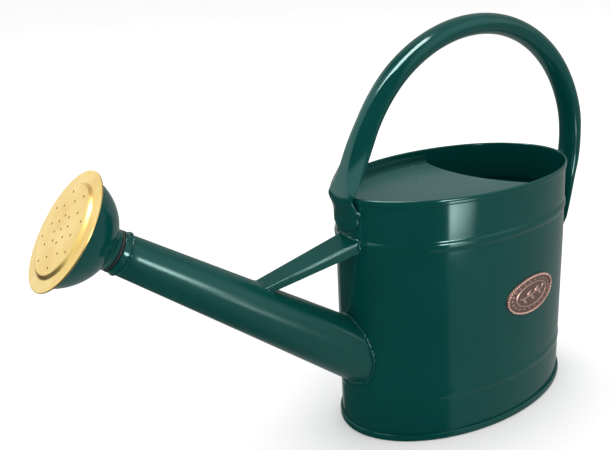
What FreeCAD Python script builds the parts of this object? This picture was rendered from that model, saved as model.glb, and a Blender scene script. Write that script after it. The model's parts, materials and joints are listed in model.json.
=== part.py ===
"""Oval steel watering can: half-covered tank, hoop handle, braced spout and a lift-off rose.

Frame: +Z is up, -X is the way the spout points, and the origin is on the ground under the middle of
the oval. Everything on the spout's axis is modelled upright and then laid along that axis.
"""
import FreeCAD, Part
import math
import os
import re
import Sketcher

SIZES = (
    # the tank, millimetres
    ("tank_height", 200.0, "ground to the top of the rim"),
    ("tank_semi_x", 111.0, "half of the oval's length, at the outside of the wall"),
    ("tank_semi_y", 67.0, "half of the oval's width, at the outside of the wall"),
    ("sheet_gauge", 0.8, "steel sheet of the tank, cover and spout"),
    ("hem_height", 4.8, "folded hem round the rim"),
    ("hem_proud", 0.9, "how far the hem stands out of the wall"),
    ("hem_round", 0.54, "rounding of the hem's crest"),
    ("bead_height", 9.0, "swaged stiffening bead"),
    ("bead_proud", 1.4, "how far a bead stands out of the wall"),
    ("bead_slope", 1.3, "sloped edge of a bead"),
    ("upper_bead_z", 163.5, "middle of the upper bead"),
    ("lower_bead_z", 39.0, "middle of the lower bead"),
    ("chime_height", 5.5, "double seam round the bottom"),
    ("chime_proud", 2.0, "how far the seam stands out of the wall"),
    ("chime_round", 1.0, "rounding of the seam"),
    ("chime_fold", 0.9, "inner fold of the seam"),
    ("floor_lift", 3.2, "ground to the underside of the floor panel"),
    # the cover over the front half
    ("cover_top", 188.0, "ground to the top of the cover"),
    ("cover_flange", 6.8, "upturned flange of the cover"),
    ("cover_gap", 0.1, "clearance between the cover and the wall"),
    ("mouth_radius", 115.0, "curve of the cover's free edge"),
    ("mouth_x", 133.2, "centre of that curve"),
    ("mouth_y", 33.2, "centre of that curve, off the middle of the can"),
    # the spout and what is on its axis; a height is a distance up the axis
    ("spout_lean", 53.7, "angle between the axis and the vertical"),
    ("spout_root_x", -111.0, "where the axis meets the wall"),
    ("spout_root_z", 73.0, "where the axis meets the wall"),
    ("root_radius", 23.2, "outside of the spout at the wall"),
    ("spout_taper", 0.0462, "radius lost per millimetre of length"),
    ("spout_length", 207.5, "wall to the tip of the spout"),
    ("root_depth", 40.0, "how far the untrimmed spout runs into the tank"),
    ("socket_start", 187.0, "inner end of the socket"),
    ("socket_end", 213.3, "mouth of the socket"),
    ("socket_bore", 10.7, "radius that the stem slides in"),
    ("socket_sleeve", 12.6, "outside of the socket within the spout"),
    ("socket_lip", 13.9, "outside of the socket past the spout"),
    ("washer_start", 213.6, "lower face of the washer"),
    ("washer_end", 215.2, "upper face of the washer"),
    ("washer_radius", 13.7, "outside of the washer"),
    ("stem_start", 190.0, "lower end of the rose's stem"),
    ("stem_end", 222.0, "upper end of the rose's stem"),
    ("stem_radius", 10.63, "outside of the stem"),
    ("stem_wall", 0.8, "wall of the stem"),
    ("neck_start", 215.5, "lower end of the rose's neck"),
    ("neck_end", 219.6, "upper end of the rose's neck"),
    ("neck_radius", 13.9, "outside of the neck at the washer"),
    ("neck_flare", 15.2, "outside of the neck at the bowl"),
    ("bowl_rim_radius", 36.0, "outside of the bowl at its edge"),
    ("bowl_curve", 37.0, "radius of the bowl's section"),
    ("face_at", 247.0, "front of the face's flange"),
    ("face_radius", 39.6, "outside of the face"),
    ("face_gauge", 0.8, "brass sheet of the face"),
    ("face_lip", 2.0, "depth of the lip turned down over the bowl's edge"),
    ("face_round", 0.72, "rounding of the face's edge"),
    ("disc_radius", 29.0, "edge of the raised disc"),
    ("disc_raise", 2.0, "how far the disc stands out of the flange"),
    ("disc_foot", 31.4, "foot of the slope round the disc"),
    ("spray_hole", 0.8, "radius of a spray hole"),
    ("spray_turn", 5.0, "turn of the whole pattern of holes"),
    ("spray_ring_1", 8.9, "pitch radius of the inner ring of holes"),
    ("spray_ring_2", 18.2, "pitch radius of the middle ring"),
    ("spray_ring_3", 24.9, "pitch radius of the outer ring"),
    # the brace: low is its end within the spout, high its end within the tank, both untrimmed
    ("brace_low_x", -190.0, "low end"),
    ("brace_low_y", 1.2, "middle of the low end"),
    ("brace_low_z", 146.3, "top of the low end"),
    ("brace_low_width", 16.8, "width at the low end"),
    ("brace_low_depth", 4.9, "depth at the low end"),
    ("brace_low_round", 1.5, "bend of the folded edges at the low end"),
    ("brace_high_x", -100.0, "high end"),
    ("brace_high_y", -5.6, "middle of the high end"),
    ("brace_high_z", 172.4, "top of the high end"),
    ("brace_high_width", 21.4, "width at the high end"),
    ("brace_high_depth", 13.1, "depth at the high end"),
    ("brace_high_round", 5.0, "bend of the folded edges at the high end"),
    ("brace_gauge", 1.2, "steel sheet of the brace"),
    # the badge on the side
    ("badge_x", 23.8, "middle of the badge"),
    ("badge_z", 104.9, "middle of the badge"),
    ("badge_turn", 7.6, "angle of the wall under the badge, from the side view"),
    ("badge_semi_long", 30.0, "half of the badge's length"),
    ("badge_semi_short", 16.0, "half of the badge's height"),
    ("badge_film", 0.3, "solder film behind the badge"),
    ("badge_plate", 1.2, "thickness of the badge with the film"),
    ("badge_bead", 2.2, "thickness at the badge's border"),
    ("badge_border", 2.4, "width of the border"),
    # weld beads and solder
    ("weld_size", 1.5, "leg of a weld bead"),
    ("collar_weld", 0.9, "radius of the solder ring at the spout's tip"),
    ("collar_sink", 0.225, "how deep the socket's lip bites into that ring"),
    # the handle: a steel tube in one plane, its runs in order from the front foot
    ("foot_centre_x", 112.45, "middle of the strip where it lies on the wall"),
    ("front_foot_z", 175.0, "lower end of the front foot"),
    ("foot_tip", 3.0, "rounded end of a foot"),
    ("front_flat", 7.0, "length of the front foot that lies on the wall"),
    ("foot_bend_radius", 15.0, "bend outwards above the front foot"),
    ("foot_bend_angle", 16.0, "bend outwards above the front foot"),
    ("foot_rise", 6.0, "straight run past the hem"),
    ("elbow_radius", 9.0, "bend inwards over the rim"),
    ("elbow_angle", 41.0, "bend inwards over the rim"),
    ("leg_length", 59.0, "front leg, nearly straight"),
    ("leg_bow", 6.4, "bow of the front leg, degrees"),
    ("crown_radius", 127.0, "front of the hoop"),
    ("crown_angle", 65.0, "front of the hoop"),
    ("hoop_radius", 117.5, "rest of the hoop"),
    ("hoop_angle", 119.6, "rest of the hoop"),
    ("rear_flat", 14.0, "length of the rear foot that lies on the wall"),
    ("handle_gauge", 1.0, "wall of the tube"),
    ("tube_thick", 16.6, "tube across the hoop"),
    ("tube_wide", 22.0, "tube along Y"),
    ("strip_thick", 2.3, "tube pressed flat"),
    ("strip_wide", 31.0, "tube pressed flat, along Y"),
    ("tip_share", 0.62, "width of a foot's end, as a share of the strip"),
    ("front_pressed", 24.0, "length pressed quite flat at the front"),
    ("front_opening", 62.0, "length over which the front leg rounds out"),
    ("rear_pressed", 31.0, "length pressed quite flat at the rear"),
    ("rear_opening", 60.0, "length over which the rear leg rounds out"),
    # the solder behind each foot
    ("solder_height", 9.0, "height of the solder behind a foot"),
    ("solder_inset", 1.5, "foot's edge to the solder"),
    ("solder_depth", 6.0, "how deep the untrimmed solder runs into the wall"),
    ("front_solder_z", 179.5, "bottom of the front solder"),
    ("rear_solder_z", 98.0, "bottom of the rear solder"),
)
PLANE_NORMAL_UP = FreeCAD.Vector(0, 0, 1)
OVERSHOOT = 20.0     # how far a cutting tool runs past what it cuts
HOLES_PER_RING = 8
RING_POINTS = 32     # points round one section of the handle
HOLLOW_FROM = 0.45   # share of its opening past which the handle's tube is hollow
STEP_LENGTH = 7.0    # longest distance between two sections of the handle
THICK_POWER = 0.62   # how early the pressed tube's thickness opens
WIDE_POWER = 0.8     # how early its width closes in
FLAT_SQUARENESS = 5.0
ROUND_SQUARENESS = 2.0

doc = FreeCAD.newDocument("watering_can")
sheet = doc.addObject("Spreadsheet::Sheet", "sizes")
pieces = []          # the objects that are written out, one per node


def fill_sheet():
    """Write each driving size into its own row: alias, number, meaning."""
    for row, (alias, number, meaning) in enumerate(SIZES, start=1):
        sheet.set("A%d" % row, alias)
        sheet.set("B%d" % row, str(number))
        sheet.set("C%d" % row, meaning)
        sheet.setAlias("B%d" % row, alias)
    doc.recompute()


def bound(formula):
    """The formula with every size's alias pointed at the sheet."""
    return re.sub(r"\b[a-z]\w*_\w+\b", lambda word: "sizes." + word.group(0), str(formula))


def value(formula):
    """The formula's present number, in millimetres or degrees."""
    return float(sheet.evalExpression(bound(formula)))


def bind(item, path, formula):
    """Bind one property of an object to the sheet."""
    item.setExpression(path, bound(formula))


# ---------------------------------------------------------------- sketches and features

def new_body(label):
    """An empty body of its own."""
    body = doc.addObject("PartDesign::Body", label)
    body.Label = label
    return body


def sketch_on(body, role, offset="0"):
    """A sketch on one of the body's own origin planes, lifted along the plane's normal."""
    plane = [item for item in body.Origin.OriginFeatures if item.Role == role][0]
    sketch = body.newObject("Sketcher::SketchObject", body.Name + "_sketch")
    sketch.AttachmentSupport = [(plane, "")]
    sketch.MapMode = "FlatFace"
    bind(sketch, "AttachmentOffset.Base.z", offset)
    return sketch


def dimension(sketch, kind, where, formula):
    """One driving dimension, bound to the sheet when its size isn't zero."""
    index = sketch.addConstraint(Sketcher.Constraint(kind, *where, value(formula)))
    name = "size_%d" % index
    sketch.renameConstraint(index, name)
    if value(formula) != 0.0:
        sketch.setExpression("Constraints." + name, bound(formula))


def draw_oval(sketch, semi_x, semi_y):
    """An ellipse centred on the sketch's origin with its long axis level."""
    long_end = FreeCAD.Vector(value(semi_x), 0, 0)
    short_end = FreeCAD.Vector(0, value(semi_y), 0)
    oval = sketch.addGeometry(Part.Ellipse(long_end, short_end, FreeCAD.Vector()))
    sketch.exposeInternalGeometry(oval)
    sketch.addConstraint(Sketcher.Constraint("Coincident", oval, 3, -1, 1))
    long_axis = oval + 1
    short_axis = oval + 2
    sketch.addConstraint(Sketcher.Constraint("Horizontal", long_axis))
    dimension(sketch, "Distance", (long_axis,), "2 * (%s)" % semi_x)
    dimension(sketch, "Distance", (short_axis,), "2 * (%s)" % semi_y)


def draw_circle(sketch, across, up, radius):
    """A circle placed by its centre."""
    centre = FreeCAD.Vector(value(across), value(up), 0)
    circle = sketch.addGeometry(Part.Circle(centre, PLANE_NORMAL_UP, value(radius)))
    if value(across) == 0.0 and value(up) == 0.0:
        sketch.addConstraint(Sketcher.Constraint("Coincident", circle, 3, -1, 1))
    else:
        dimension(sketch, "DistanceX", (-1, 1, circle, 3), across)
        dimension(sketch, "DistanceY", (-1, 1, circle, 3), up)
    dimension(sketch, "Radius", (circle,), radius)


def draw_outline(sketch, corners, curves=None):
    """A closed outline through the corners; curves gives an arc's radius for the run after a corner.

    A positive radius bulges to the right of the direction of travel, a negative one to the left.
    """
    curves = curves or {}
    points = [FreeCAD.Vector(value(across), value(up), 0) for across, up in corners]
    ends = []
    for index, start in enumerate(points):
        finish = points[(index + 1) % len(points)]
        if index in curves:
            radius = value(curves[index])
            edge = sketch.addGeometry(bulged_arc(start, finish, radius))
            forwards = edge_starts_at(sketch, edge, start)
            dimension(sketch, "Radius", (edge,), "abs(%s)" % curves[index])
        else:
            edge = sketch.addGeometry(Part.LineSegment(start, finish))
            forwards = True
        ends.append((edge, 1 if forwards else 2, 2 if forwards else 1))
    for index, (edge, first, last) in enumerate(ends):
        following = ends[(index + 1) % len(ends)]
        sketch.addConstraint(Sketcher.Constraint("Coincident", edge, last, following[0], following[1]))
        across, up = corners[index]
        place_corner(sketch, edge, first, across, up)


def place_corner(sketch, edge, end, across, up):
    """Hold one corner at its distances from the sketch's axes."""
    if value(across) == 0.0:
        sketch.addConstraint(Sketcher.Constraint("PointOnObject", edge, end, -2))
    else:
        dimension(sketch, "DistanceX", (-1, 1, edge, end), across)
    if value(up) == 0.0:
        sketch.addConstraint(Sketcher.Constraint("PointOnObject", edge, end, -1))
    else:
        dimension(sketch, "DistanceY", (-1, 1, edge, end), up)


def bulged_arc(start, finish, radius):
    """The shorter arc of a given radius between two points of a sketch."""
    chord = finish - start
    across = FreeCAD.Vector(chord.y, -chord.x, 0).normalize()
    side = math.copysign(1.0, radius)
    rise = abs(radius) - math.sqrt(radius ** 2 - (chord.Length / 2) ** 2)
    crown = (start + finish) * 0.5 + across * side * rise
    return Part.Arc(start, crown, finish)


def edge_starts_at(sketch, edge, point):
    """True if the sketch stores the arc in the direction of travel."""
    return sketch.getPoint(edge, 1).distanceToPoint(point) < 1e-6


def pad(body, sketch, height):
    """Pad upwards from the sketch."""
    feature = body.newObject("PartDesign::Pad", body.Name + "_pad")
    feature.Profile = sketch
    bind(feature, "Length", height)
    doc.recompute()
    return feature


def pocket(body, sketch, depth):
    """Cut upwards from the sketch, and make sure that something was cut."""
    before = body.Shape.Volume
    feature = body.newObject("PartDesign::Pocket", body.Name + "_pocket")
    feature.Profile = sketch
    feature.Reversed = True
    bind(feature, "Length", depth)
    doc.recompute()
    if not body.Shape.Volume < before:
        raise ValueError(body.Label + ": a pocket cuts nothing")
    return feature


def revolve(body, sketch):
    """Turn the sketch once round the body's own vertical axis."""
    feature = body.newObject("PartDesign::Revolution", body.Name + "_turned")
    feature.Profile = sketch
    feature.ReferenceAxis = (sketch, ["V_Axis"])
    feature.Angle = 360.0
    doc.recompute()
    return feature


def edges_where(shape, test):
    """Names of the edges whose bounding box passes the test."""
    return ["Edge%d" % (i + 1) for i, edge in enumerate(shape.Edges) if test(edge.BoundBox)]


def level_edge(height, reach):
    """A test for a level edge at a height that reaches just as far as reach along X."""
    def test(box):
        level = box.ZLength < 0.01 and abs(box.ZMin - height) < 0.01
        return level and abs(box.XMax - reach) < 0.01
    return test


def soften(body, kind, names, size):
    """Fillet or chamfer named edges of the body's last feature."""
    base = body.Tip
    feature = body.newObject("PartDesign::" + kind, body.Name + "_" + kind.lower())
    feature.Base = (base, names)
    bind(feature, "Radius" if kind == "Fillet" else "Size", size)
    doc.recompute()
    return feature


def lay_on_spout_axis(item):
    """Move an upright piece so that its Z axis is the spout's axis."""
    item.Placement = FreeCAD.Placement(FreeCAD.Vector(), FreeCAD.Rotation(FreeCAD.Vector(0, -1, 0), 1.0))
    bind(item, "Placement.Base.x", "spout_root_x")
    bind(item, "Placement.Base.z", "spout_root_z")
    bind(item, "Placement.Rotation.Angle", "spout_lean")


def turned_piece(label, corners, curves=None):
    """A body turned round the spout's axis from its half section (radius, distance up the axis)."""
    body = new_body(label)
    sketch = sketch_on(body, "XZ_Plane")
    draw_outline(sketch, corners, curves)
    revolve(body, sketch)
    lay_on_spout_axis(body)
    return body


def spout_radius(height):
    """Formula of the spout's outer radius at a distance up its axis."""
    return "root_radius - spout_taper * (%s)" % height


# ---------------------------------------------------------------- booleans

def boolean(kind, label, base, tool):
    """A Part boolean of two objects."""
    result = doc.addObject("Part::" + kind, label)
    result.Base = base
    result.Tool = tool
    result.Label = label
    doc.recompute()
    return result


def oval_core(name, extra, bottom="-%s" % OVERSHOOT, height="tank_height + %s" % (2 * OVERSHOOT)):
    """A solid oval column, larger than the outside of the wall by extra."""
    body = new_body(name)
    sketch = sketch_on(body, "XY_Plane", bottom)
    draw_oval(sketch, "tank_semi_x + " + extra, "tank_semi_y + " + extra)
    pad(body, sketch, height)
    return body


def oval_shell(name, inner, outer):
    """The skin between two oval columns."""
    return boolean("Cut", name, oval_core(name + "_outer", outer), oval_core(name + "_inner", inner))


# ---------------------------------------------------------------- the tank

def bead(body, middle):
    """One swaged bead: a ridge outside and a matching channel inside."""
    ridge = sketch_on(body, "XY_Plane", middle + " - bead_height / 2")
    draw_oval(ridge, "tank_semi_x + bead_proud", "tank_semi_y + bead_proud")
    draw_oval(ridge, "tank_semi_x - sheet_gauge", "tank_semi_y - sheet_gauge")
    pad(body, ridge, "bead_height")
    reach = value("tank_semi_x + bead_proud")
    bottom = value(middle + " - bead_height / 2")
    top = value(middle + " + bead_height / 2")
    names = edges_where(body.Shape, level_edge(bottom, reach)) + edges_where(body.Shape, level_edge(top, reach))
    soften(body, "Chamfer", names, "bead_slope")
    channel = sketch_on(body, "XY_Plane", middle + " - bead_height / 2 + sheet_gauge + bead_slope")
    draw_oval(channel, "tank_semi_x + bead_proud - sheet_gauge", "tank_semi_y + bead_proud - sheet_gauge")
    pocket(body, channel, "bead_height - 2 * (sheet_gauge + bead_slope)")


def make_tank_wall():
    """The oval wall with its hem and two beads, and the hole that the spout covers."""
    body = new_body("wall_blank")
    sketch = sketch_on(body, "XY_Plane", "sheet_gauge")
    draw_oval(sketch, "tank_semi_x", "tank_semi_y")
    draw_oval(sketch, "tank_semi_x - sheet_gauge", "tank_semi_y - sheet_gauge")
    pad(body, sketch, "tank_height - sheet_gauge")
    bead(body, "lower_bead_z")
    bead(body, "upper_bead_z")
    hem = sketch_on(body, "XY_Plane", "tank_height - hem_height")
    draw_oval(hem, "tank_semi_x + hem_proud", "tank_semi_y + hem_proud")
    draw_oval(hem, "tank_semi_x - sheet_gauge", "tank_semi_y - sheet_gauge")
    pad(body, hem, "hem_height")
    crest = edges_where(body.Shape, level_edge(value("tank_height"), value("tank_semi_x + hem_proud")))
    soften(body, "Fillet", crest, "hem_round")
    bore = spout_cone("wall_bore", "-sheet_gauge", "-root_depth", "root_depth")
    return boolean("Cut", "tank_wall", body, bore)


def make_base_plate():
    """The floor panel and the double seam that it makes round the foot of the wall."""
    body = new_body("base_plate")
    slab = sketch_on(body, "XY_Plane")
    draw_oval(slab, "tank_semi_x + chime_proud", "tank_semi_y + chime_proud")
    pad(body, slab, "chime_height")
    slot = sketch_on(body, "XY_Plane", "sheet_gauge")
    draw_oval(slot, "tank_semi_x", "tank_semi_y")
    draw_oval(slot, "tank_semi_x - sheet_gauge", "tank_semi_y - sheet_gauge")
    pocket(body, slot, "chime_height")
    inside = sketch_on(body, "XY_Plane", "floor_lift + sheet_gauge")
    draw_oval(inside, "tank_semi_x - sheet_gauge - chime_fold", "tank_semi_y - sheet_gauge - chime_fold")
    pocket(body, inside, "chime_height")
    below = sketch_on(body, "XY_Plane", "-1 * floor_lift")
    draw_oval(below, "tank_semi_x - sheet_gauge - chime_fold", "tank_semi_y - sheet_gauge - chime_fold")
    pocket(body, below, "2 * floor_lift")
    reach = value("tank_semi_x + chime_proud")
    edges = edges_where(body.Shape, level_edge(0.0, reach))
    edges += edges_where(body.Shape, level_edge(value("chime_height"), reach))
    soften(body, "Fillet", edges, "chime_round")
    return body


def make_top_cover():
    """The plate over the front half, flanged up against the wall, with its curved free edge."""
    body = new_body("top_cover")
    plate = sketch_on(body, "XY_Plane", "cover_top - sheet_gauge")
    draw_oval(plate, "tank_semi_x - sheet_gauge - cover_gap", "tank_semi_y - sheet_gauge - cover_gap")
    pad(body, plate, "sheet_gauge + cover_flange")
    dish = sketch_on(body, "XY_Plane", "cover_top")
    draw_oval(dish, "tank_semi_x - 2 * sheet_gauge - cover_gap", "tank_semi_y - 2 * sheet_gauge - cover_gap")
    pocket(body, dish, "2 * cover_flange")
    mouth = sketch_on(body, "XY_Plane", "cover_top - 2 * sheet_gauge")
    draw_circle(mouth, "mouth_x", "mouth_y", "mouth_radius")
    pocket(body, mouth, "3 * cover_flange")
    return body


# ---------------------------------------------------------------- the spout and its brace

def spout_cone(name, extra, low, high):
    """A solid cone about the spout's axis, larger than the spout by extra."""
    return turned_piece(name, (
        ("0", low),
        (spout_radius(low) + " + " + extra, low),
        (spout_radius(high) + " + " + extra, high),
        ("0", high),
    ))


def make_spout_tube():
    """The tapered tube, butted against the wall."""
    low = "-root_depth"
    tube = turned_piece("spout_blank", (
        (spout_radius(low) + " - sheet_gauge", low),
        (spout_radius(low), low),
        (spout_radius("spout_length"), "spout_length"),
        (spout_radius("spout_length") + " - sheet_gauge", "spout_length"),
    ))
    return boolean("Cut", "spout_tube", tube, oval_core("spout_trim", "0"))


def make_spout_socket():
    """The ferrule in the spout's tip that takes the rose's stem."""
    return turned_piece("spout_socket", (
        ("socket_bore", "socket_start"),
        ("socket_sleeve", "socket_start"),
        ("socket_sleeve", "spout_length"),
        ("socket_lip", "spout_length"),
        ("socket_lip", "socket_end"),
        ("socket_bore", "socket_end"),
    ))


def make_socket_weld():
    """The solder ring where the spout's tip meets the socket."""
    ring = doc.addObject("Part::Torus", "socket_weld_ring")
    bind(ring, "Radius1", "socket_lip")
    bind(ring, "Radius2", "collar_weld")
    lay_on_spout_axis(ring)
    shift = "(spout_length + collar_weld / 2)"
    bind(ring, "Placement.Base.x", "spout_root_x - %s * sin(spout_lean)" % shift)
    bind(ring, "Placement.Base.z", "spout_root_z + %s * cos(spout_lean)" % shift)
    core = turned_piece("socket_weld_core", (
        ("0", "socket_start"),
        ("socket_lip + collar_sink", "socket_start"),
        ("socket_lip + collar_sink", "socket_end"),
        ("0", "socket_end"),
    ))
    return boolean("Cut", "socket_weld", ring, core)


def make_spout_root_weld(wall):
    """The bead that runs round the joint of the spout and the wall, and laps on the lower swage."""
    band = spout_cone("root_weld_band", "weld_size", "-root_depth", "root_depth * 2")
    hole = spout_cone("root_weld_hole", "0", "-root_depth", "root_depth * 2")
    sleeve = boolean("Cut", "root_weld_sleeve", band, hole)
    skin = oval_shell("root_weld_skin", "0", "weld_size")
    ring = boolean("Common", "root_weld_ring", sleeve, skin)
    return boolean("Cut", "spout_root_weld", ring, wall_outline("root_weld_trim", wall, "lower_bead_z"))


def brace_section(body, end, grow, below):
    """The section across one end of the brace: two upper corners bent round, the lower two square."""
    sketch = sketch_on(body, "YZ_Plane", "brace_%s_x" % end)
    right = "brace_%s_y + brace_%s_width / 2 + %s" % (end, end, grow)
    left = "brace_%s_y - brace_%s_width / 2 - %s" % (end, end, grow)
    top = "brace_%s_z + %s" % (end, grow)
    bottom = "brace_%s_z - brace_%s_depth - %s" % (end, end, below)
    bend = "(brace_%s_round + %s)" % (end, grow)
    draw_outline(sketch, (
        (left, bottom),
        (right, bottom),
        (right, "%s - %s" % (top, bend)),
        ("%s - %s" % (right, bend), top),
        ("%s + %s" % (left, bend), top),
        (left, "%s - %s" % (top, bend)),
    ), {2: bend, 4: bend})
    return sketch


def brace_loft(name, grow, below):
    """A tapering bar along the brace, larger than it by grow, and deeper by below."""
    body = new_body(name)
    low = brace_section(body, "low", grow, below)
    high = brace_section(body, "high", grow, below)
    feature = body.newObject("PartDesign::AdditiveLoft", name + "_loft")
    feature.Profile = low
    feature.Sections = [high]
    doc.recompute()
    return body


def make_brace(wall):
    """A folded channel: a top and two flanges, cut to fit the spout and the wall with its bead."""
    bar = brace_loft("brace_bar", "0", "0")
    hollow = brace_loft("brace_hollow", "(-1 * brace_gauge)", "brace_gauge")
    channel = boolean("Cut", "brace_channel", bar, hollow)
    at_tank = boolean("Cut", "brace_at_tank", channel, wall_outline("brace_trim", wall, "upper_bead_z"))
    cone = spout_cone("brace_spout_trim", "0", "0", "spout_length")
    return boolean("Cut", "brace", at_tank, cone)


def wall_outline(name, wall, middle):
    """The wall with all that it holds filled in, as far out as the inside of the bead at that height."""
    channel_bottom = middle + " - bead_height / 2 + sheet_gauge"
    core = oval_core(name + "_core", "0")
    channel = oval_core(name + "_bead", "bead_proud - sheet_gauge", channel_bottom, "bead_height - 2 * sheet_gauge")
    return boolean("Fuse", name, boolean("Fuse", name + "_filled", core, channel), wall)


def brace_sleeve(name):
    """A skin of one weld's leg over the outside of the channel."""
    wrap = brace_loft(name + "_wrap", "weld_size", "0")
    core = brace_loft(name + "_core", "0", "weld_size")
    return boolean("Cut", name, wrap, core)


def make_brace_tank_weld(wall):
    """The bead between the brace and the tank."""
    skin = oval_shell("tank_weld_skin", "0", "bead_proud + weld_size")
    bead_round = boolean("Common", "tank_weld_bead", brace_sleeve("tank_weld_sleeve"), skin)
    return boolean("Cut", "brace_tank_weld", bead_round, wall_outline("tank_weld_trim", wall, "upper_bead_z"))


def make_brace_foot_weld():
    """The bead between the brace and the spout."""
    band = spout_cone("foot_weld_band", "weld_size", "root_depth", "spout_length")
    hole = spout_cone("foot_weld_hole", "0", "root_depth", "spout_length")
    skin = boolean("Cut", "foot_weld_skin", band, hole)
    return boolean("Common", "brace_foot_weld", brace_sleeve("foot_weld_sleeve"), skin)


# ---------------------------------------------------------------- the rose

def make_rose_washer():
    """The rubber ring on the stem."""
    return turned_piece("rose_washer", (
        ("socket_bore", "washer_start"),
        ("washer_radius", "washer_start"),
        ("washer_radius", "washer_end"),
        ("socket_bore", "washer_end"),
    ))


def make_rose_stem():
    """The short tube that slides in the socket."""
    return turned_piece("rose_stem", (
        ("stem_radius - stem_wall", "stem_start"),
        ("stem_radius", "stem_start"),
        ("stem_radius", "stem_end"),
        ("stem_radius - stem_wall", "stem_end"),
    ))


def make_rose_neck():
    """The sleeve between the washer and the bowl."""
    return turned_piece("rose_neck", (
        ("stem_radius", "neck_start"),
        ("neck_radius", "neck_start"),
        ("neck_flare", "neck_end"),
        ("stem_radius", "neck_end"),
    ))


def make_rose_bowl():
    """The spun bowl, from the neck out to the flange that the face is turned down over."""
    rim = "face_at - face_gauge"
    inner_curve = "-1 * (bowl_curve - face_gauge)"
    return turned_piece("rose_bowl", (
        ("stem_radius", "neck_end"),
        ("neck_flare", "neck_end"),
        ("bowl_rim_radius", rim + " - face_gauge"),
        ("face_radius - face_gauge", rim + " - face_gauge"),
        ("face_radius - face_gauge", rim),
        ("bowl_rim_radius - face_gauge", rim),
        ("neck_flare", "neck_end + face_gauge"),
        ("stem_radius", "neck_end + face_gauge"),
    ), {1: "bowl_curve", 5: inner_curve})


def make_rose_face():
    """The brass face: a lip over the bowl, a flange, and a raised disc with the spray holes."""
    back = "face_at - face_gauge"
    body = turned_piece("rose_face", (
        ("0", back + " + disc_raise"),
        ("disc_radius", back + " + disc_raise"),
        ("disc_foot", back),
        ("face_radius - face_gauge", back),
        ("face_radius - face_gauge", "face_at - face_lip"),
        ("face_radius", "face_at - face_lip"),
        ("face_radius", "face_at"),
        ("disc_foot", "face_at"),
        ("disc_radius", "face_at + disc_raise"),
        ("0", "face_at + disc_raise"),
    ))
    reach = value("face_radius")
    edge = edges_where(body.Tip.Shape, level_edge(value("face_at"), reach))
    soften(body, "Fillet", edge, "face_round")
    centre = sketch_on(body, "XY_Plane", "face_at - face_gauge")
    draw_circle(centre, "0", "0", "spray_hole")
    pocket(body, centre, "2 * disc_raise")
    half_step = "180 / %d" % HOLES_PER_RING
    for ring, stagger in (("spray_ring_1", half_step), ("spray_ring_2", "0"), ("spray_ring_3", half_step)):
        spray_ring(body, ring, "(spray_turn + %s)" % stagger)
    return body


def spray_ring(body, ring, start):
    """The spray holes on one pitch circle, the first of them turned by start degrees."""
    sketch = sketch_on(body, "XY_Plane", "face_at - face_gauge")
    draw_circle(sketch, "%s * cos%s" % (ring, start), "%s * sin%s" % (ring, start), "spray_hole")
    hole = pocket(body, sketch, "2 * disc_raise")
    before = body.Shape.Volume
    pattern = body.newObject("PartDesign::PolarPattern", body.Name + "_ring")
    pattern.Originals = [hole]
    pattern.Axis = (sketch, ["N_Axis"])
    pattern.Angle = 360.0
    pattern.Occurrences = HOLES_PER_RING
    body.Tip = pattern
    doc.recompute()
    if not body.Shape.Volume < before:
        raise ValueError("a ring of spray holes wasn't repeated")


# ---------------------------------------------------------------- the badge

def badge_prism(name, inset):
    """An oval prism that stands square to the wall where the badge is."""
    oval = doc.addObject("Part::Ellipse", name + "_oval")
    bind(oval, "MajorRadius", "badge_semi_long - " + inset)
    bind(oval, "MinorRadius", "badge_semi_short - " + inset)
    block = doc.addObject("Part::Extrusion", name)
    block.Base = oval
    block.DirMode = "Custom"
    block.Dir = PLANE_NORMAL_UP
    block.Solid = True
    bind(block, "LengthFwd", "tank_semi_y")
    facing_out = FreeCAD.Rotation(FreeCAD.Vector(1, 0, 0), 90.0)
    turned = FreeCAD.Rotation(PLANE_NORMAL_UP, value("badge_turn")).multiply(facing_out)
    block.Placement = FreeCAD.Placement(FreeCAD.Vector(), turned)
    wall_y = "tank_semi_y * sqrt(1 - (badge_x / tank_semi_x) ^ 2)"
    bind(block, "Placement.Base.x", "badge_x - sin(badge_turn) * tank_semi_y / 2")
    bind(block, "Placement.Base.y", "cos(badge_turn) * tank_semi_y / 2 - " + wall_y)
    bind(block, "Placement.Base.z", "badge_z")
    doc.recompute()
    return block


def make_badge():
    """The curved oval plate, its raised border and the solder film that holds it."""
    full = badge_prism("badge_prism", "0")
    middle = badge_prism("badge_middle", "badge_border")
    film = boolean("Common", "badge_solder", full, oval_shell("film_skin", "0", "badge_film"))
    plate_skin = oval_shell("plate_skin", "badge_film", "badge_plate")
    plate = boolean("Common", "badge_plate", middle, plate_skin)
    edge = boolean("Cut", "badge_edge", full, middle)
    border = boolean("Common", "badge_border", edge, oval_shell("border_skin", "badge_film", "badge_bead"))
    return [film, plate, border]


# ---------------------------------------------------------------- the handle

class Route:
    """A path in the plane of the handle, made of straight runs and tangent arcs."""

    def __init__(self, x, z, heading):
        self.x, self.z, self.heading = x, z, heading
        self.stops = [(0.0, x, z, heading)]
        self.length = 0.0

    def run(self, length, turn=0.0):
        """Go on by length while turning by turn degrees, left when positive."""
        steps = max(2 if length > value("foot_tip") else 1, math.ceil(length / STEP_LENGTH))
        for _ in range(steps):
            part, bend = length / steps, math.radians(turn / steps)
            middle = self.heading + bend / 2
            shortening = math.sin(bend / 2) / (bend / 2) if bend else 1.0
            self.x += part * shortening * math.cos(middle)
            self.z += part * shortening * math.sin(middle)
            self.heading += bend
            self.length += part
            self.stops.append((self.length, self.x, self.z, self.heading))

    def arc(self, radius, turn):
        """Turn left by turn degrees (right when negative) on a radius."""
        self.run(radius * math.radians(abs(turn)), turn)


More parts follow.
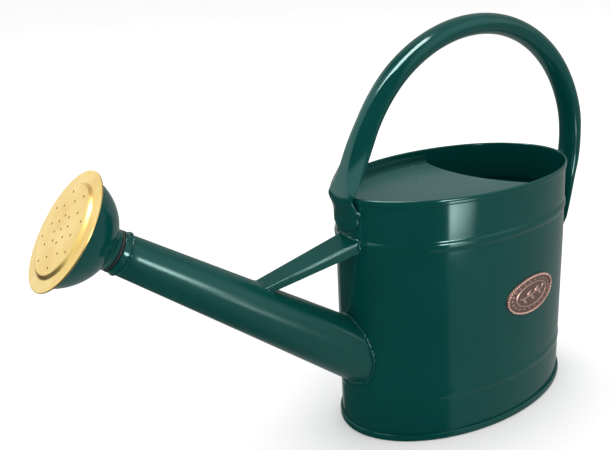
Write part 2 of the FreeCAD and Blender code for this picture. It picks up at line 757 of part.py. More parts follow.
def handle_route():
    """From the front foot's end, up the leg, over the hoop and down to the rear foot's end."""
    route = Route(-value("foot_centre_x"), value("front_foot_z"), math.radians(90.0))
    route.run(value("foot_tip"))
    route.run(value("front_flat"))
    route.arc(value("foot_bend_radius"), value("foot_bend_angle"))
    route.run(value("foot_rise"))
    route.arc(value("elbow_radius"), -value("elbow_angle"))
    route.run(value("leg_length"), -value("leg_bow"))
    route.arc(value("crown_radius"), -value("crown_angle"))
    route.arc(value("hoop_radius"), -value("hoop_angle"))
    lean = route.heading + math.radians(90.0)
    shift = route.x - value("foot_centre_x")
    bend_back = shift / (1.0 - math.cos(lean))
    route.arc(bend_back, -math.degrees(lean))
    route.run(value("rear_flat"))
    route.run(value("foot_tip"))
    return route


def blend(low, high, share):
    """A smooth change from low to high as share goes from 0 to 1."""
    share = min(1.0, max(0.0, share))
    return low + (high - low) * share * share * (3.0 - 2.0 * share)


def opening(distance, foot):
    """How far the tube has rounded out, from 0 on the pressed foot to 1 on the round tube."""
    share = (distance - value(foot + "_pressed")) / value(foot + "_opening")
    return min(1.0, max(0.0, share))


def tube_section(share):
    """Thickness, width and squareness of the tube where it has rounded out by share.

    The thickness opens first and the width closes in a little later, as the girth stays the same.
    """
    thick = blend(value("strip_thick"), value("tube_thick"), share ** THICK_POWER)
    wide = blend(value("strip_wide"), value("tube_wide"), share ** WIDE_POWER)
    square = blend(FLAT_SQUARENESS, ROUND_SQUARENESS, share)
    return thick, wide, square


def section_ring(stop, thick, wide, square):
    """A closed section square to the route: an ellipse when square is 2, nearly a rectangle at 5."""
    _, x, z, heading = stop
    across = FreeCAD.Vector(-math.sin(heading), 0, math.cos(heading))
    side = FreeCAD.Vector(0, 1, 0)
    middle = FreeCAD.Vector(x, 0, z)
    points = []
    for index in range(RING_POINTS):
        angle = 2.0 * math.pi * index / RING_POINTS
        up, over = math.sin(angle), math.cos(angle)
        reach = (abs(up) ** square + abs(over) ** square) ** (-1.0 / square)
        points.append(middle + across * (up * reach * thick / 2) + side * (over * reach * wide / 2))
    curve = Part.BSplineCurve()
    curve.interpolate(Points=points, PeriodicFlag=True)
    return Part.Wire(curve.toShape())


def make_handle():
    """One steel tube: oval over the hoop, pressed flat into a rounded tongue at each foot."""
    route = handle_route()
    outside, inside = [], []
    wall = 2.0 * value("handle_gauge")
    for stop in route.stops:
        from_front = stop[0]
        from_rear = route.length - stop[0]
        share = min(opening(from_front, "front"), opening(from_rear, "rear"))
        thick, wide, square = tube_section(share)
        if min(from_front, from_rear) == 0.0:
            wide *= value("tip_share")
        outside.append(section_ring(stop, thick, wide, square))
        if share > HOLLOW_FROM:
            inside.append(section_ring(stop, thick - wall, wide - wall, square))
    tube = Part.makeLoft(outside, True, True)
    hollow = Part.makeLoft(inside, True, True)
    feature = doc.addObject("Part::Feature", "handle")
    feature.Shape = tube.cut(hollow)
    feature.Label = "handle"
    metal = tube.Volume - hollow.Volume
    if abs(feature.Shape.Volume - metal) > 0.02 * metal:
        raise ValueError("the handle lost or gained metal when it was hollowed")
    return feature


def foot_solder(label, side, low):
    """The solder that fills between a flat foot and the curved wall."""
    block = doc.addObject("Part::Box", label + "_block")
    block.Placement = FreeCAD.Placement()
    bind(block, "Height", "solder_height")
    bind(block, "Width", "strip_wide - 2 * solder_inset")
    bind(block, "Length", "foot_centre_x - strip_thick / 2 - tank_semi_x + solder_depth")
    start = "tank_semi_x - solder_depth" if side > 0 else "strip_thick / 2 - foot_centre_x"
    bind(block, "Placement.Base.x", start)
    bind(block, "Placement.Base.y", "solder_inset - strip_wide / 2")
    bind(block, "Placement.Base.z", low)
    return boolean("Cut", label, block, oval_core(label + "_trim", "0"))


# ---------------------------------------------------------------- assembly

def check_document():
    """Stop if any object failed to rebuild."""
    doc.recompute()
    for item in doc.Objects:
        if "Invalid" in item.State or "Error" in item.State:
            raise ValueError("%s failed to rebuild: %s" % (item.Label, item.State))


def write_pieces():
    """Check each piece's solid and write it to its own file."""
    os.makedirs("parts", exist_ok=True)
    for piece in pieces:
        shape = piece.Shape
        if shape.isNull() or not shape.isValid() or not shape.Solids:
            raise ValueError(piece.Label + " has no sound solid")
        shape.exportStep("parts/%s.step" % piece.Label)
        print("%-20s %d solid(s) %10.1f mm3" % (piece.Label, len(shape.Solids), shape.Volume))


def main():
    fill_sheet()
    wall = make_tank_wall()
    brace = make_brace(wall)
    pieces.extend([wall, make_base_plate(), make_top_cover()])
    pieces.extend([make_spout_tube(), make_spout_socket(), make_socket_weld(), make_spout_root_weld(wall)])
    pieces.extend([brace, make_brace_tank_weld(wall), make_brace_foot_weld()])
    pieces.extend([make_rose_washer(), make_rose_stem(), make_rose_neck(), make_rose_bowl(), make_rose_face()])
    pieces.extend(make_badge())
    pieces.append(make_handle())
    pieces.append(foot_solder("handle_front_solder", -1, "front_solder_z"))
    pieces.append(foot_solder("handle_rear_solder", 1, "rear_solder_z"))
    check_document()
    write_pieces()


main()
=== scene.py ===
"""Looks of the oval watering can. Its shapes are in millimetres until a mesh is made; materials, lights
and the camera are in metres.

Each piece is a closed skin through rings of points, built in the CAD's own frame: +Z up, the spout
pointing to -X. The pieces on the spout's axis are placed by the joint's own line in the record.
"""
import json
import math

import bmesh
import bpy
import numpy as np
from mathutils import Matrix, Vector, noise


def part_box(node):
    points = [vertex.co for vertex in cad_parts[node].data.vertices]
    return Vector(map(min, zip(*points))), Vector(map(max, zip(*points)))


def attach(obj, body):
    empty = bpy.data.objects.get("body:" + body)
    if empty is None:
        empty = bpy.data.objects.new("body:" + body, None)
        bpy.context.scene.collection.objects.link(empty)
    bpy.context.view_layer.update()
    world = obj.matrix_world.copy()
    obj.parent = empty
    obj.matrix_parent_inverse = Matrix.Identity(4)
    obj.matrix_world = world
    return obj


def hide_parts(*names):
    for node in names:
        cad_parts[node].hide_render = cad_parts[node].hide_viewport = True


MM = 0.001
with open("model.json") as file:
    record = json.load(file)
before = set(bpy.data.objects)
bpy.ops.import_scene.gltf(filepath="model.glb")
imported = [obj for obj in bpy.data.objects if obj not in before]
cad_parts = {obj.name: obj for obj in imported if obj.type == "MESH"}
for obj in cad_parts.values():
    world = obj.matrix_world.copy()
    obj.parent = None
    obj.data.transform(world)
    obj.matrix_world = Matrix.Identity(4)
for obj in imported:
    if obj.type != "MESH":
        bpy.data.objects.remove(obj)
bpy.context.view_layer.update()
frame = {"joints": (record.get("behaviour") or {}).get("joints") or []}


def cad_box(node):
    """Lowest and highest corner of a CAD node."""
    low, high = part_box(node)
    return np.array(low) / MM, np.array(high) / MM


# -------- sizes shared with the CAD

GAUGE = 0.8
CAD_BEAD = 1.4
BEAD_HEIGHT = 9.0
# Height of each bead's middle, and how far it stands out.
BEADS = ((39.0, 0.5), (163.5, 0.95))
HEM_PROUD = 0.9
HEM_HEIGHT = 4.8
TANK_TOP = cad_box("tank_wall")[1][2]
SEMI_X, SEMI_Y = cad_box("tank_wall")[1][:2] - CAD_BEAD
COVER_TOP = cad_box("top_cover")[0][2] + GAUGE
COVER_EDGE = cad_box("top_cover")[1][2]
MOUTH = np.array((133.2, 33.2))
MOUTH_RADIUS = 115.0

TURN = [joint for joint in frame["joints"] if joint["name"] == "rose_turn"][0]


def joint_line(joint):
    """Unit direction of a joint's axis, and the point where that line meets the tank's wall."""
    axis = np.array(joint["axis"], float)
    axis /= np.linalg.norm(axis)
    place = np.array(joint["pos_m"], float) / MM
    return axis, place - axis * (place[0] + SEMI_X) / axis[0]


AXIS, ROOT = joint_line(TURN)
SIDE = np.array((0.0, 1.0, 0.0))
UPPER = np.cross(AXIS, -SIDE)
SPOUT_ROOT_RADIUS = 23.2
SPOUT_TAPER = 0.0462
# Heights up the spout's axis, from the wall.
SPOUT_END = 207.5
SOCKET_LOW, SOCKET_HIGH = 187.0, 213.3
WASHER_LOW, WASHER_HIGH = 213.6, 215.2
STEM_LOW, STEM_HIGH = 190.0, 222.0
NECK_LOW, NECK_HIGH = 215.5, 219.6
FACE_AT = 246.95
# Radii round that axis.
SOCKET_BORE = 10.7
STEM_RADIUS = 10.63


# -------- small helpers

def once_round(count):
    """Evenly spaced angles, once round."""
    return np.linspace(0.0, 2.0 * math.pi, count, endpoint=False)


def smooth(low, high, share):
    """A smooth change from low to high as share goes from 0 to 1."""
    share = np.clip(share, 0.0, 1.0)
    return low + (high - low) * share * share * (3.0 - 2.0 * share)


def rough(point, scale, seed):
    """Smooth noise from -1 to 1 at a point; scale is the size of its features."""
    return noise.noise(Vector([float(p) / scale for p in point]) + Vector((seed * 7.3, seed * 3.1, seed)))


def rounded(corners, radius, steps=4):
    """The closed outline through corners with every corner rounded off."""
    made = []
    for index, corner in enumerate(corners):
        here = np.array(corner, float)
        back = np.array(corners[index - 1], float) - here
        on = np.array(corners[(index + 1) % len(corners)], float) - here
        lengths = np.linalg.norm(back), np.linalg.norm(on)
        reach = min(radius, 0.45 * lengths[0], 0.45 * lengths[1])
        start = here + back / lengths[0] * reach
        finish = here + on / lengths[1] * reach
        for s in np.linspace(0.0, 1.0, steps + 1):
            made.append((1 - s) ** 2 * start + 2 * s * (1 - s) * here + s * s * finish)
    return made


def ring_skin(rings, closed=False):
    """Points and faces of a skin through rings of points; its ends are capped unless it closes."""
    rings = np.array(rings, float)
    count, around = rings.shape[:2]
    faces = []
    for i in range(count if closed else count - 1):
        j = (i + 1) % count
        for k in range(around):
            m = (k + 1) % around
            faces.append((i * around + k, i * around + m, j * around + m, j * around + k))
    if not closed:
        faces.append(tuple(reversed(range(around))))
        faces.append(tuple((count - 1) * around + k for k in range(around)))
    return rings.reshape(-1, 3), faces


def placed(name, data):
    """A new object with this data, in the scene."""
    made = bpy.data.objects.new(name, data)
    bpy.context.scene.collection.objects.link(made)
    return made


def build(name, skins, sharp=32.0):
    """One mesh object out of several closed skins, with edges sharper than an angle left crisp."""
    points, faces = [], []
    for skin_points, skin_faces in skins:
        start = len(points)
        points.extend(tuple(float(p) * MM for p in point) for point in skin_points)
        faces.extend(tuple(start + index for index in face) for face in skin_faces)
    mesh = bpy.data.meshes.new(name)
    mesh.from_pydata(points, [], faces)
    work = bmesh.new()
    work.from_mesh(mesh)
    bmesh.ops.remove_doubles(work, verts=work.verts, dist=1e-7)
    bmesh.ops.dissolve_degenerate(work, edges=work.edges, dist=1e-8)
    bmesh.ops.recalc_face_normals(work, faces=work.faces)
    for face in work.faces:
        face.smooth = True
    work.to_mesh(mesh)
    work.free()
    mesh.set_sharp_from_angle(angle=math.radians(sharp))
    return placed(name, mesh)


def hand_in(piece, body, nodes, material):
    """Give a finished piece its body, the CAD nodes that it stands for and its material."""
    piece.data.materials.clear()
    piece.data.materials.append(material)
    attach(piece, body)
    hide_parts(*nodes)


def oval(grow, angle, height):
    """A point of the tank's oval, grown by grow, at an angle round it."""
    return np.array(((SEMI_X + grow) * math.cos(angle), (SEMI_Y + grow) * math.sin(angle), height))


def oval_skin(outline, steps=240):
    """A closed (grow, height) outline carried round the oval."""
    angles = once_round(steps)
    return ring_skin([[oval(g, angle, z) for g, z in outline] for angle in angles], closed=True)


def on_axis(radius, height, angle):
    """A point at a radius, a height up the spout's axis and an angle round it."""
    return ROOT + AXIS * height + (UPPER * math.cos(angle) + SIDE * math.sin(angle)) * radius


def turned(outline, steps=128):
    """A closed (radius, height) outline turned once round the spout's axis."""
    angles = once_round(steps)
    return ring_skin([[on_axis(r, h, angle) for r, h in outline] for angle in angles], closed=True)


def spout_radius(height):
    """Outside radius of the spout at a height up its axis."""
    return SPOUT_ROOT_RADIUS - SPOUT_TAPER * height


def inside_tank(point, grow=0.0):
    """True if a point lies within the oval column grown by grow."""
    return (point[0] / (SEMI_X + grow)) ** 2 + (point[1] / (SEMI_Y + grow)) ** 2 < 1.0


def inside_spout(point, grow=0.0):
    """True if a point lies within the spout's cone grown by grow."""
    away = np.array(point) - ROOT
    height = float(away @ AXIS)
    return np.linalg.norm(away - AXIS * height) < spout_radius(height) + grow


def crossing(line, test, low, high):
    """Where along line(low..high) the test turns from its state at low, by halving."""
    first = test(line(low))
    for _ in range(30):
        middle = (low + high) / 2.0
        if test(line(middle)) == first:
            low = middle
        else:
            high = middle
    return (low + high) / 2.0


def weld_bead(path, reference, radius, seed, closed=False, lumps=0.35, sides=10):
    """A hand-laid bead along a path: a round section whose size and place wander."""
    path = [np.array(p, float) for p in path]
    rings = []
    for index, point in enumerate(path):
        before = path[index - 1] if closed or index else point
        after = path[(index + 1) % len(path)] if closed or index < len(path) - 1 else point
        along = (after - before) / np.linalg.norm(after - before)
        side = np.cross(along, reference)
        side /= np.linalg.norm(side)
        up = np.cross(side, along)
        size = radius * (1.0 + lumps * rough(point, 2.6, seed) + 0.6 * lumps * rough(point, 7.0, seed + 5))
        drift = side * radius * 0.5 * lumps * rough(point, 5.0, seed + 9)
        if not closed:
            size *= smooth(0.35, 1.0, min(index, len(path) - 1 - index) / 4.0)
        turns = once_round(sides)
        rings.append([point + drift + (side * math.cos(a) + up * math.sin(a)) * size for a in turns])
    return ring_skin(rings, closed)


def spatter(centre, size, seed):
    """A small drop of spattered metal, nowhere quite round."""
    rings = []
    for latitude in np.linspace(-1.35, 1.35, 6):
        ring = []
        for longitude in once_round(8):
            away = np.array((math.cos(latitude) * math.cos(longitude),
                             math.cos(latitude) * math.sin(longitude), math.sin(latitude)))
            ring.append(centre + away * size * (1.0 + 0.5 * rough(away, 0.8, seed)))
        rings.append(ring)
    return ring_skin(rings)


# -------- materials

def new_material(name):
    """An empty node material: its tree, its Principled shader and a node adder."""
    material = bpy.data.materials.new(name)
    material.use_nodes = True
    tree = material.node_tree
    tree.nodes.clear()
    output = tree.nodes.new("ShaderNodeOutputMaterial")
    shader = tree.nodes.new("ShaderNodeBsdfPrincipled")
    tree.links.new(shader.outputs["BSDF"], output.inputs["Surface"])
    return material, tree, shader


def settle(node, **values):
    """Set a node's own inputs; a space in an input's name is an underscore here."""
    for name, value in values.items():
        node.inputs[name.replace("_", " ")].default_value = value


def object_noise(tree, scale, detail=3.0, roughness=0.5, stretch=None):
    """Noise fixed to the object, in features per metre."""
    place = tree.nodes.new("ShaderNodeTexCoord")
    texture = tree.nodes.new("ShaderNodeTexNoise")
    settle(texture, Scale=scale, Detail=detail, Roughness=roughness)
    source = place.outputs["Object"]
    if stretch:
        mapping = tree.nodes.new("ShaderNodeMapping")
        settle(mapping, Scale=stretch)
        tree.links.new(source, mapping.inputs["Vector"])
        source = mapping.outputs["Vector"]
    tree.links.new(source, texture.inputs["Vector"])
    return texture.outputs["Fac"]


def ramp(tree, source, stops):
    """A colour ramp over a 0 to 1 source; stops are (place, colour)."""
    node = tree.nodes.new("ShaderNodeValToRGB")
    node.color_ramp.elements[0].position = stops[0][0]
    node.color_ramp.elements[0].color = (*stops[0][1], 1.0)
    node.color_ramp.elements[1].position = stops[-1][0]
    node.color_ramp.elements[1].color = (*stops[-1][1], 1.0)
    for place, colour in stops[1:-1]:
        node.color_ramp.elements.new(place).color = (*colour, 1.0)
    tree.links.new(source, node.inputs["Fac"])
    return node.outputs["Color"]


def grey_range(tree, source, low, high):
    """A source from 0 to 1 carried to low to high."""
    node = tree.nodes.new("ShaderNodeMapRange")
    settle(node, To_Min=low, To_Max=high)
    tree.links.new(source, node.inputs["Value"])
    return node.outputs["Result"]


def bumps(tree, shader, layers):
    """Chain bump layers of (source, depth in metres) into the shader's normals."""
    previous = None
    for source, depth in layers:
        node = tree.nodes.new("ShaderNodeBump")
        settle(node, Strength=1.0, Distance=depth)
        tree.links.new(source, node.inputs["Height"])
        if previous:
            tree.links.new(previous, node.inputs["Normal"])
        previous = node.outputs["Normal"]
    tree.links.new(previous, shader.inputs["Normal"])


def enamel(name, wave, grain, gloss, shine=0.62, dust=0.0):
    """Deep green stoved enamel: slow waves of the sheet, fine orange peel and a clear gloss."""
    material, tree, shader = new_material(name)
    tone = object_noise(tree, 14.0, 4.0)
    green = ramp(tree, tone, ((0.3, (0.0004, 0.041, 0.035)), (0.7, (0.0008, 0.048, 0.041))))
    tree.links.new(green, shader.inputs["Base Color"])
    smear = object_noise(tree, 60.0, 3.0)
    tree.links.new(grey_range(tree, smear, gloss, gloss + 0.05), shader.inputs["Roughness"])
    settle(shader, Specular_IOR_Level=shine, Specular_Tint=(0.5, 1.0, 0.95, 1.0))
    settle(shader, Sheen_Weight=dust, Sheen_Roughness=0.4, Sheen_Tint=(0.6, 1.0, 0.95, 1.0))
    layers = ((object_noise(tree, 9.0, 1.0), wave), (object_noise(tree, 420.0, 2.0), grain))
    bumps(tree, shader, layers)
    return material


def rubber():
    """Matt black rubber with a little bloom and mould grain."""
    material, tree, shader = new_material("black_rubber")
    tone = object_noise(tree, 300.0, 4.0)
    black = ramp(tree, tone, ((0.3, (0.010, 0.010, 0.011)), (0.8, (0.030, 0.030, 0.031))))
    tree.links.new(black, shader.inputs["Base Color"])
    tree.links.new(grey_range(tree, tone, 0.55, 0.8), shader.inputs["Roughness"])
    bumps(tree, shader, ((object_noise(tree, 900.0, 2.0), 0.00008),))
    return material


def brass():
    """Pale lacquered brass sheet, slightly tarnished, with fine rolling marks."""
    material, tree, shader = new_material("brass")
    tone = object_noise(tree, 45.0, 4.0, 0.6)
    stops = ((0.30, (0.82, 0.58, 0.18)), (0.55, (0.90, 0.67, 0.24)), (0.75, (0.93, 0.73, 0.32)))
    gold = ramp(tree, tone, stops)
    tree.links.new(gold, shader.inputs["Base Color"])
    settle(shader, Metallic=1.0)
    marks = object_noise(tree, 260.0, 3.0, 0.6, (1.0, 5.0, 1.0))
    tree.links.new(grey_range(tree, marks, 0.26, 0.42), shader.inputs["Roughness"])
    bumps(tree, shader, ((object_noise(tree, 30.0, 1.0), 0.0006), (marks, 0.00003)))
    return material


def aged_copper():
    """Copper with dark patina left in the hollows and rubbed bright on the raised parts."""
    material, tree, shader = new_material("aged_copper")
    height = tree.nodes.new("ShaderNodeAttribute")
    height.attribute_name = "relief"
    worn = object_noise(tree, 700.0, 3.0, 0.6)
    mix = tree.nodes.new("ShaderNodeMath")
    mix.operation = "MULTIPLY_ADD"
    mix.inputs[1].default_value = 0.45
    tree.links.new(worn, mix.inputs[0])
    tree.links.new(height.outputs["Fac"], mix.inputs[2])
    stops = ((0.15, (0.23, 0.145, 0.122)), (0.55, (0.38, 0.25, 0.21)), (1.0, (0.66, 0.47, 0.40)))
    tree.links.new(ramp(tree, mix.outputs[0], stops), shader.inputs["Base Color"])
    settle(shader, Metallic=0.85)
    tree.links.new(grey_range(tree, worn, 0.24, 0.5), shader.inputs["Roughness"])
    bumps(tree, shader, ((worn, 0.00012),))
    return material


def floor_paint():
    """Plain pale floor with the faintest tone in it."""
    material, tree, shader = new_material("floor")
    tone = object_noise(tree, 3.0, 2.0)
    pale = ramp(tree, tone, ((0.2, (0.86, 0.86, 0.86)), (0.8, (0.88, 0.88, 0.88))))
    tree.links.new(pale, shader.inputs["Base Color"])
    settle(shader, Roughness=0.9, Specular_IOR_Level=0.1)
    return material


# -------- the tank

REAR_SET_IN = 1.7
HOLE_REACH = 40.0
COVER_ROUND = 2.4


def wall_grow(height):
    """How far the wall's outside stands out at a height: the two swaged beads."""
    grow = 0.0
    for middle, proud in BEADS:
        share = 1.0 - abs(height - middle) / (BEAD_HEIGHT / 2.0)
        grow += float(smooth(0.0, proud, share / 0.75))
    return grow


def wall_heights(top):
    """Heights up the wall, closer together across the beads."""
    heights = list(np.linspace(0.8, 33.5, 8))
    heights += list(np.linspace(34.3, 43.7, 25))
    heights += list(np.linspace(44.5, 158.0, 22))
    heights += list(np.linspace(158.8, 168.2, 25))
    heights += list(np.linspace(169.0, top, 8))
    return heights


def tank_wall():
    """The oval wall: sheet with swaged beads, its rim folded into a hem, and the spout's hole."""
    hem_foot = TANK_TOP - HEM_HEIGHT
    outline = [(wall_grow(z), z) for z in wall_heights(hem_foot - 0.5)]
    outline += [(0.0, hem_foot), (0.55, hem_foot + 0.1), (0.82, hem_foot + 0.5), (HEM_PROUD, hem_foot + 1.1)]
    outline += [(HEM_PROUD, TANK_TOP - 1.3), (0.8, TANK_TOP - 0.6), (0.45, TANK_TOP - 0.15), (0.05, TANK_TOP)]
    outline += [(-0.35, TANK_TOP - 0.15), (-0.7, TANK_TOP - 0.6), (-GAUGE, TANK_TOP - 1.3)]
    outline += [(wall_grow(z) - GAUGE, z) for z in reversed(wall_heights(hem_foot))]
    points, faces = oval_skin(outline)
    for point in points:
        slack = smooth(0.0, 1.0, (point[2] - 170.0) / 30.0)
        inward = 0.22 * slack * (1.0 + rough((point[0], point[1], 0.0), 26.0, 2))
        point[:2] *= 1.0 - inward / SEMI_X
        rear = smooth(0.0, 1.0, (point[0] - 60.0) / 45.0)
        point[0] -= REAR_SET_IN * smooth(0.0, 1.0, (point[2] - 125.0) / 70.0) * rear
    wall = build("tank_wall_sheet", [(points, faces)], sharp=40.0)
    low, high = spout_radius(-HOLE_REACH) - GAUGE, spout_radius(HOLE_REACH) - GAUGE
    hole = [(0.01, -HOLE_REACH), (low, -HOLE_REACH), (high, HOLE_REACH), (0.01, HOLE_REACH)]
    cutter = build("spout_hole_cutter", [turned(hole, 96)])
    cut_out(wall, cutter)
    return wall


def cut_out(piece, cutter):
    """Subtract the cutter from the piece and remove the cutter."""
    modifier = piece.modifiers.new("cut", "BOOLEAN")
    modifier.operation = "DIFFERENCE"
    modifier.solver = "EXACT"
    modifier.object = cutter
    graph = bpy.context.evaluated_depsgraph_get()
    piece.data = bpy.data.meshes.new_from_object(piece.evaluated_get(graph))
    piece.modifiers.clear()
    bpy.data.objects.remove(cutter)


def base_plate():
    """The double seam round the foot, and the floor panel set up inside it."""
    seam = [(0.0, 5.5), (1.3, 5.5), (1.85, 5.0), (2.0, 4.2), (2.0, 1.3), (1.75, 0.5), (1.1, 0.05), (0.3, 0.0)]
    seam += [(-0.9, 0.0), (-1.5, 0.2), (-1.7, 0.7), (-1.7, 3.0), (-1.7, 4.4), (-1.3, 5.2), (-0.8, 5.5)]
    panel = ((0.0001, 4.4), (0.3, 4.4), (0.6, 4.3), (0.86, 4.1), (0.9, 3.3), (0.93, 3.2), (1.0, 3.2))
    rings = []
    for reach, height in panel:
        rings.append([oval(-1.6, a, height) * (reach, reach, 1.0) for a in once_round(160)])
    top = [[point + (0.0, 0.0, GAUGE) for point in ring] for ring in rings]
    bottom = [[point.copy() for point in ring] for ring in reversed(rings)]
    return build("base_seam_and_floor", [oval_skin(seam), ring_skin(top + bottom)])


def mouth_end(half, grow):
    """Angle round the oval where the cover's curved edge meets it, on the half where y has that sign."""
    def line(angle):
        return oval(grow, half * angle, 0.0)

    def near(point):
        return np.linalg.norm(point[:2] - MOUTH) < MOUTH_RADIUS
    return half * crossing(line, near, 0.05, math.pi)


def top_cover():
    """The plate over the front half: flat, rolled up into a flange at the wall, with a curved free edge."""
    inner = -2.0 * GAUGE - 0.1
    bend_foot = inner - COVER_ROUND
    thick = COVER_ROUND + GAUGE
    first = mouth_end(1.0, bend_foot)
    last = 2.0 * math.pi + mouth_end(-1.0, bend_foot)
    ends = [oval(bend_foot, angle, 0.0)[:2] - MOUTH for angle in (first, last)]
    edge_angles = [math.atan2(end[1], end[0]) % (2.0 * math.pi) for end in ends]
    rings = []
    for share in np.linspace(0.0, 1.0, 161):
        angle = first + (last - first) * share
        edge_angle = edge_angles[0] + (edge_angles[1] - edge_angles[0]) * share
        free = MOUTH + MOUTH_RADIUS * np.array((math.cos(edge_angle), math.sin(edge_angle)))
        foot = oval(bend_foot, angle, 0.0)[:2]
        upper, under = [], []
        for step in np.linspace(0.0, 1.0, 15):
            place = free + (foot - free) * step
            wave = rough((place[0], place[1], 0.0), 38.0, 4)
            sag = 0.35 * wave * smooth(0.0, 1.0, step * (1.0 - step) * 4.0)
            upper.append(np.array((*place, COVER_TOP + sag)))
            under.append(np.array((*place, COVER_TOP - GAUGE + sag)))
        for bend in np.linspace(0.2, 1.0, 5) * math.pi / 2.0:
            away, lift = 1.0 - math.sin(bend), 1.0 - math.cos(bend)
            upper.append(oval(inner - COVER_ROUND * away, angle, COVER_TOP + COVER_ROUND * lift))
            under.append(oval(inner + GAUGE - thick * away, angle, COVER_TOP - GAUGE + thick * lift))
        upper.append(oval(inner, angle, COVER_EDGE - 0.3))
        upper.append(oval(inner + 0.25, angle, COVER_EDGE))
        under.append(oval(inner + GAUGE, angle, COVER_EDGE - 0.3))
        under.append(oval(inner + GAUGE - 0.25, angle, COVER_EDGE))
        rings.append(upper + under[::-1])
    return build("cover_plate", [ring_skin(rings)])


# -------- the spout and its brace

def root_height(radius_inward, angle, grow=0.0):
    """Height up the axis where the spout's skin, at an angle round it, leaves the tank."""
    def line(height):
        return on_axis(spout_radius(height) - radius_inward, height, angle)
    return crossing(line, lambda point: inside_tank(point, grow), -40.0, 60.0)


def spout_tube():
    """The tapered tube, cut to the wall it stands on."""
    rings = []
    for angle in once_round(144):
        outer = [(0.0, h) for h in np.linspace(root_height(0.0, angle), SPOUT_END - 0.4, 40)]
        outer += [(0.12, SPOUT_END - 0.1), (0.4, SPOUT_END)]
        inner = [(GAUGE, h) for h in np.linspace(SPOUT_END - 0.2, root_height(GAUGE, angle), 12)]
        rings.append([on_axis(spout_radius(h) - inward, h, angle) for inward, h in outer + inner])
    return build("spout_cone", [ring_skin(rings, closed=True)], sharp=50.0)


def spout_socket():
    """The ferrule that the rose's stem slides into."""
    outline = ((SOCKET_BORE, SOCKET_LOW), (12.6, SOCKET_LOW), (12.6, SPOUT_END - 0.4), (13.9, SPOUT_END),
               (13.9, SOCKET_HIGH), (SOCKET_BORE, SOCKET_HIGH))
    return build("socket_ferrule", [turned(rounded(outline, 0.5))])


def socket_weld():
    """A lumpy ring of solder where the spout's tip meets the ferrule."""
    angles = once_round(120)
    path = [on_axis(13.75, SPOUT_END + 0.4 + 0.5 * rough((a * 4.0, 0.0, 0.0), 1.5, 3), a) for a in angles]
    skins = [weld_bead(path, AXIS, 0.95, 11, closed=True, lumps=0.45)]
    for index in range(7):
        angle = -2.4 + 0.8 * index + 0.5 * rough((index, 0.0, 0.0), 0.37, 6)
        size = 0.9 + 0.35 * rough((index, 1.0, 0.0), 0.37, 8)
        skins.append(spatter(on_axis(14.0, SPOUT_END + 1.0, angle), size, index))
    return build("socket_solder", skins, sharp=60.0)


def spout_root_weld():
    """The bead round the spout's root, with the spatter left beside its upper half."""
    path = []
    for angle in once_round(220):
        height = root_height(0.0, angle, 0.2)
        path.append(on_axis(spout_radius(height) + 0.15, height, angle))
    skins = [weld_bead(path, AXIS, 1.45, 21, closed=True, lumps=0.6)]
    for index in range(26):
        angle = 1.9 * rough((index, 0.0, 0.0), 0.61, 31)
        away = 2.0 + 5.0 * abs(rough((index, 2.0, 0.0), 0.43, 33))
        height = root_height(0.0, angle) + away
        size = 0.35 + 0.4 * abs(rough((index, 4.0, 0.0), 0.47, 35))
        skins.append(spatter(on_axis(spout_radius(height), height, angle), size, index))
    return build("spout_root_bead", skins, sharp=60.0)


BRACE_LOW = {"x": -190.0, "y": 1.2, "z": 146.3, "width": 16.8, "depth": 4.9, "drop": 0.3}
BRACE_HIGH = {"x": -100.0, "y": -5.6, "z": 172.4, "width": 21.4, "depth": 13.1, "drop": 3.4}
BRACE_GAUGE = 1.2
BRACE_BEND = 1.1


def brace_section(end, inset):
    """A folded section at one end, from the near flange's foot over the top to the far one's.

    The top tilts down by drop towards the near flange.
    """
    half = end["width"] / 2.0 - inset
    foot = end["z"] - end["depth"]
    near, far = end["z"] - end["drop"] - inset, end["z"] - inset
    bend = max(BRACE_BEND - inset, 0.3)
    points = [(-half, foot + (near - bend - foot) * s) for s in np.linspace(0.0, 1.0, 5)]
    for turn in np.linspace(0.0, math.pi / 2.0, 6)[1:]:
        points.append((-half + bend * (1.0 - math.cos(turn)), near - bend * (1.0 - math.sin(turn))))
    for share in np.linspace(0.0, 1.0, 8)[1:-1]:
        points.append(((-half + bend) * (1.0 - 2.0 * share), near + (far - near) * share))
    for turn in np.linspace(math.pi / 2.0, 0.0, 6)[:-1]:
        points.append((half - bend * (1.0 - math.cos(turn)), far - bend * (1.0 - math.sin(turn))))
    points += [(half, foot + (far - bend - foot) * s) for s in np.linspace(1.0, 0.0, 5)]
    return [np.array((end["x"], end["y"] + y, z)) for y, z in points]


def brace_rails(inset):
    """Each fold line of the brace from the spout's skin to the tank's wall."""
    rails = []
    for low, high in zip(brace_section(BRACE_LOW, inset), brace_section(BRACE_HIGH, inset)):
        def line(share, low=low, high=high):
            return low + (high - low) * share
        start = crossing(line, inside_spout, 0.0, 0.6) if inside_spout(low) else 0.0
        stop = crossing(line, lambda p: inside_tank(p, wall_grow(p[2])), 0.5, 1.0)
        rails.append([line(s) for s in np.linspace(start, stop, 24)])
    return rails


def brace():
    """The folded channel between the spout and the tank."""
    outer, inner = brace_rails(0.0), brace_rails(BRACE_GAUGE)
    rings = []
    for station in range(len(outer[0])):
        rings.append([rail[station] for rail in outer] + [rail[station] for rail in reversed(inner)])
    return build("brace_channel", [ring_skin(rings)], sharp=40.0)


def brace_tank_weld():
    """The bead between the brace and the tank."""
    path = [rail[-1] for rail in brace_rails(-0.3)]
    bead = weld_bead(refined(path, 60), (1.0, 0.0, 0.0), 1.1, 41, lumps=0.5)
    return build("brace_upper_bead", [bead], sharp=60.0)


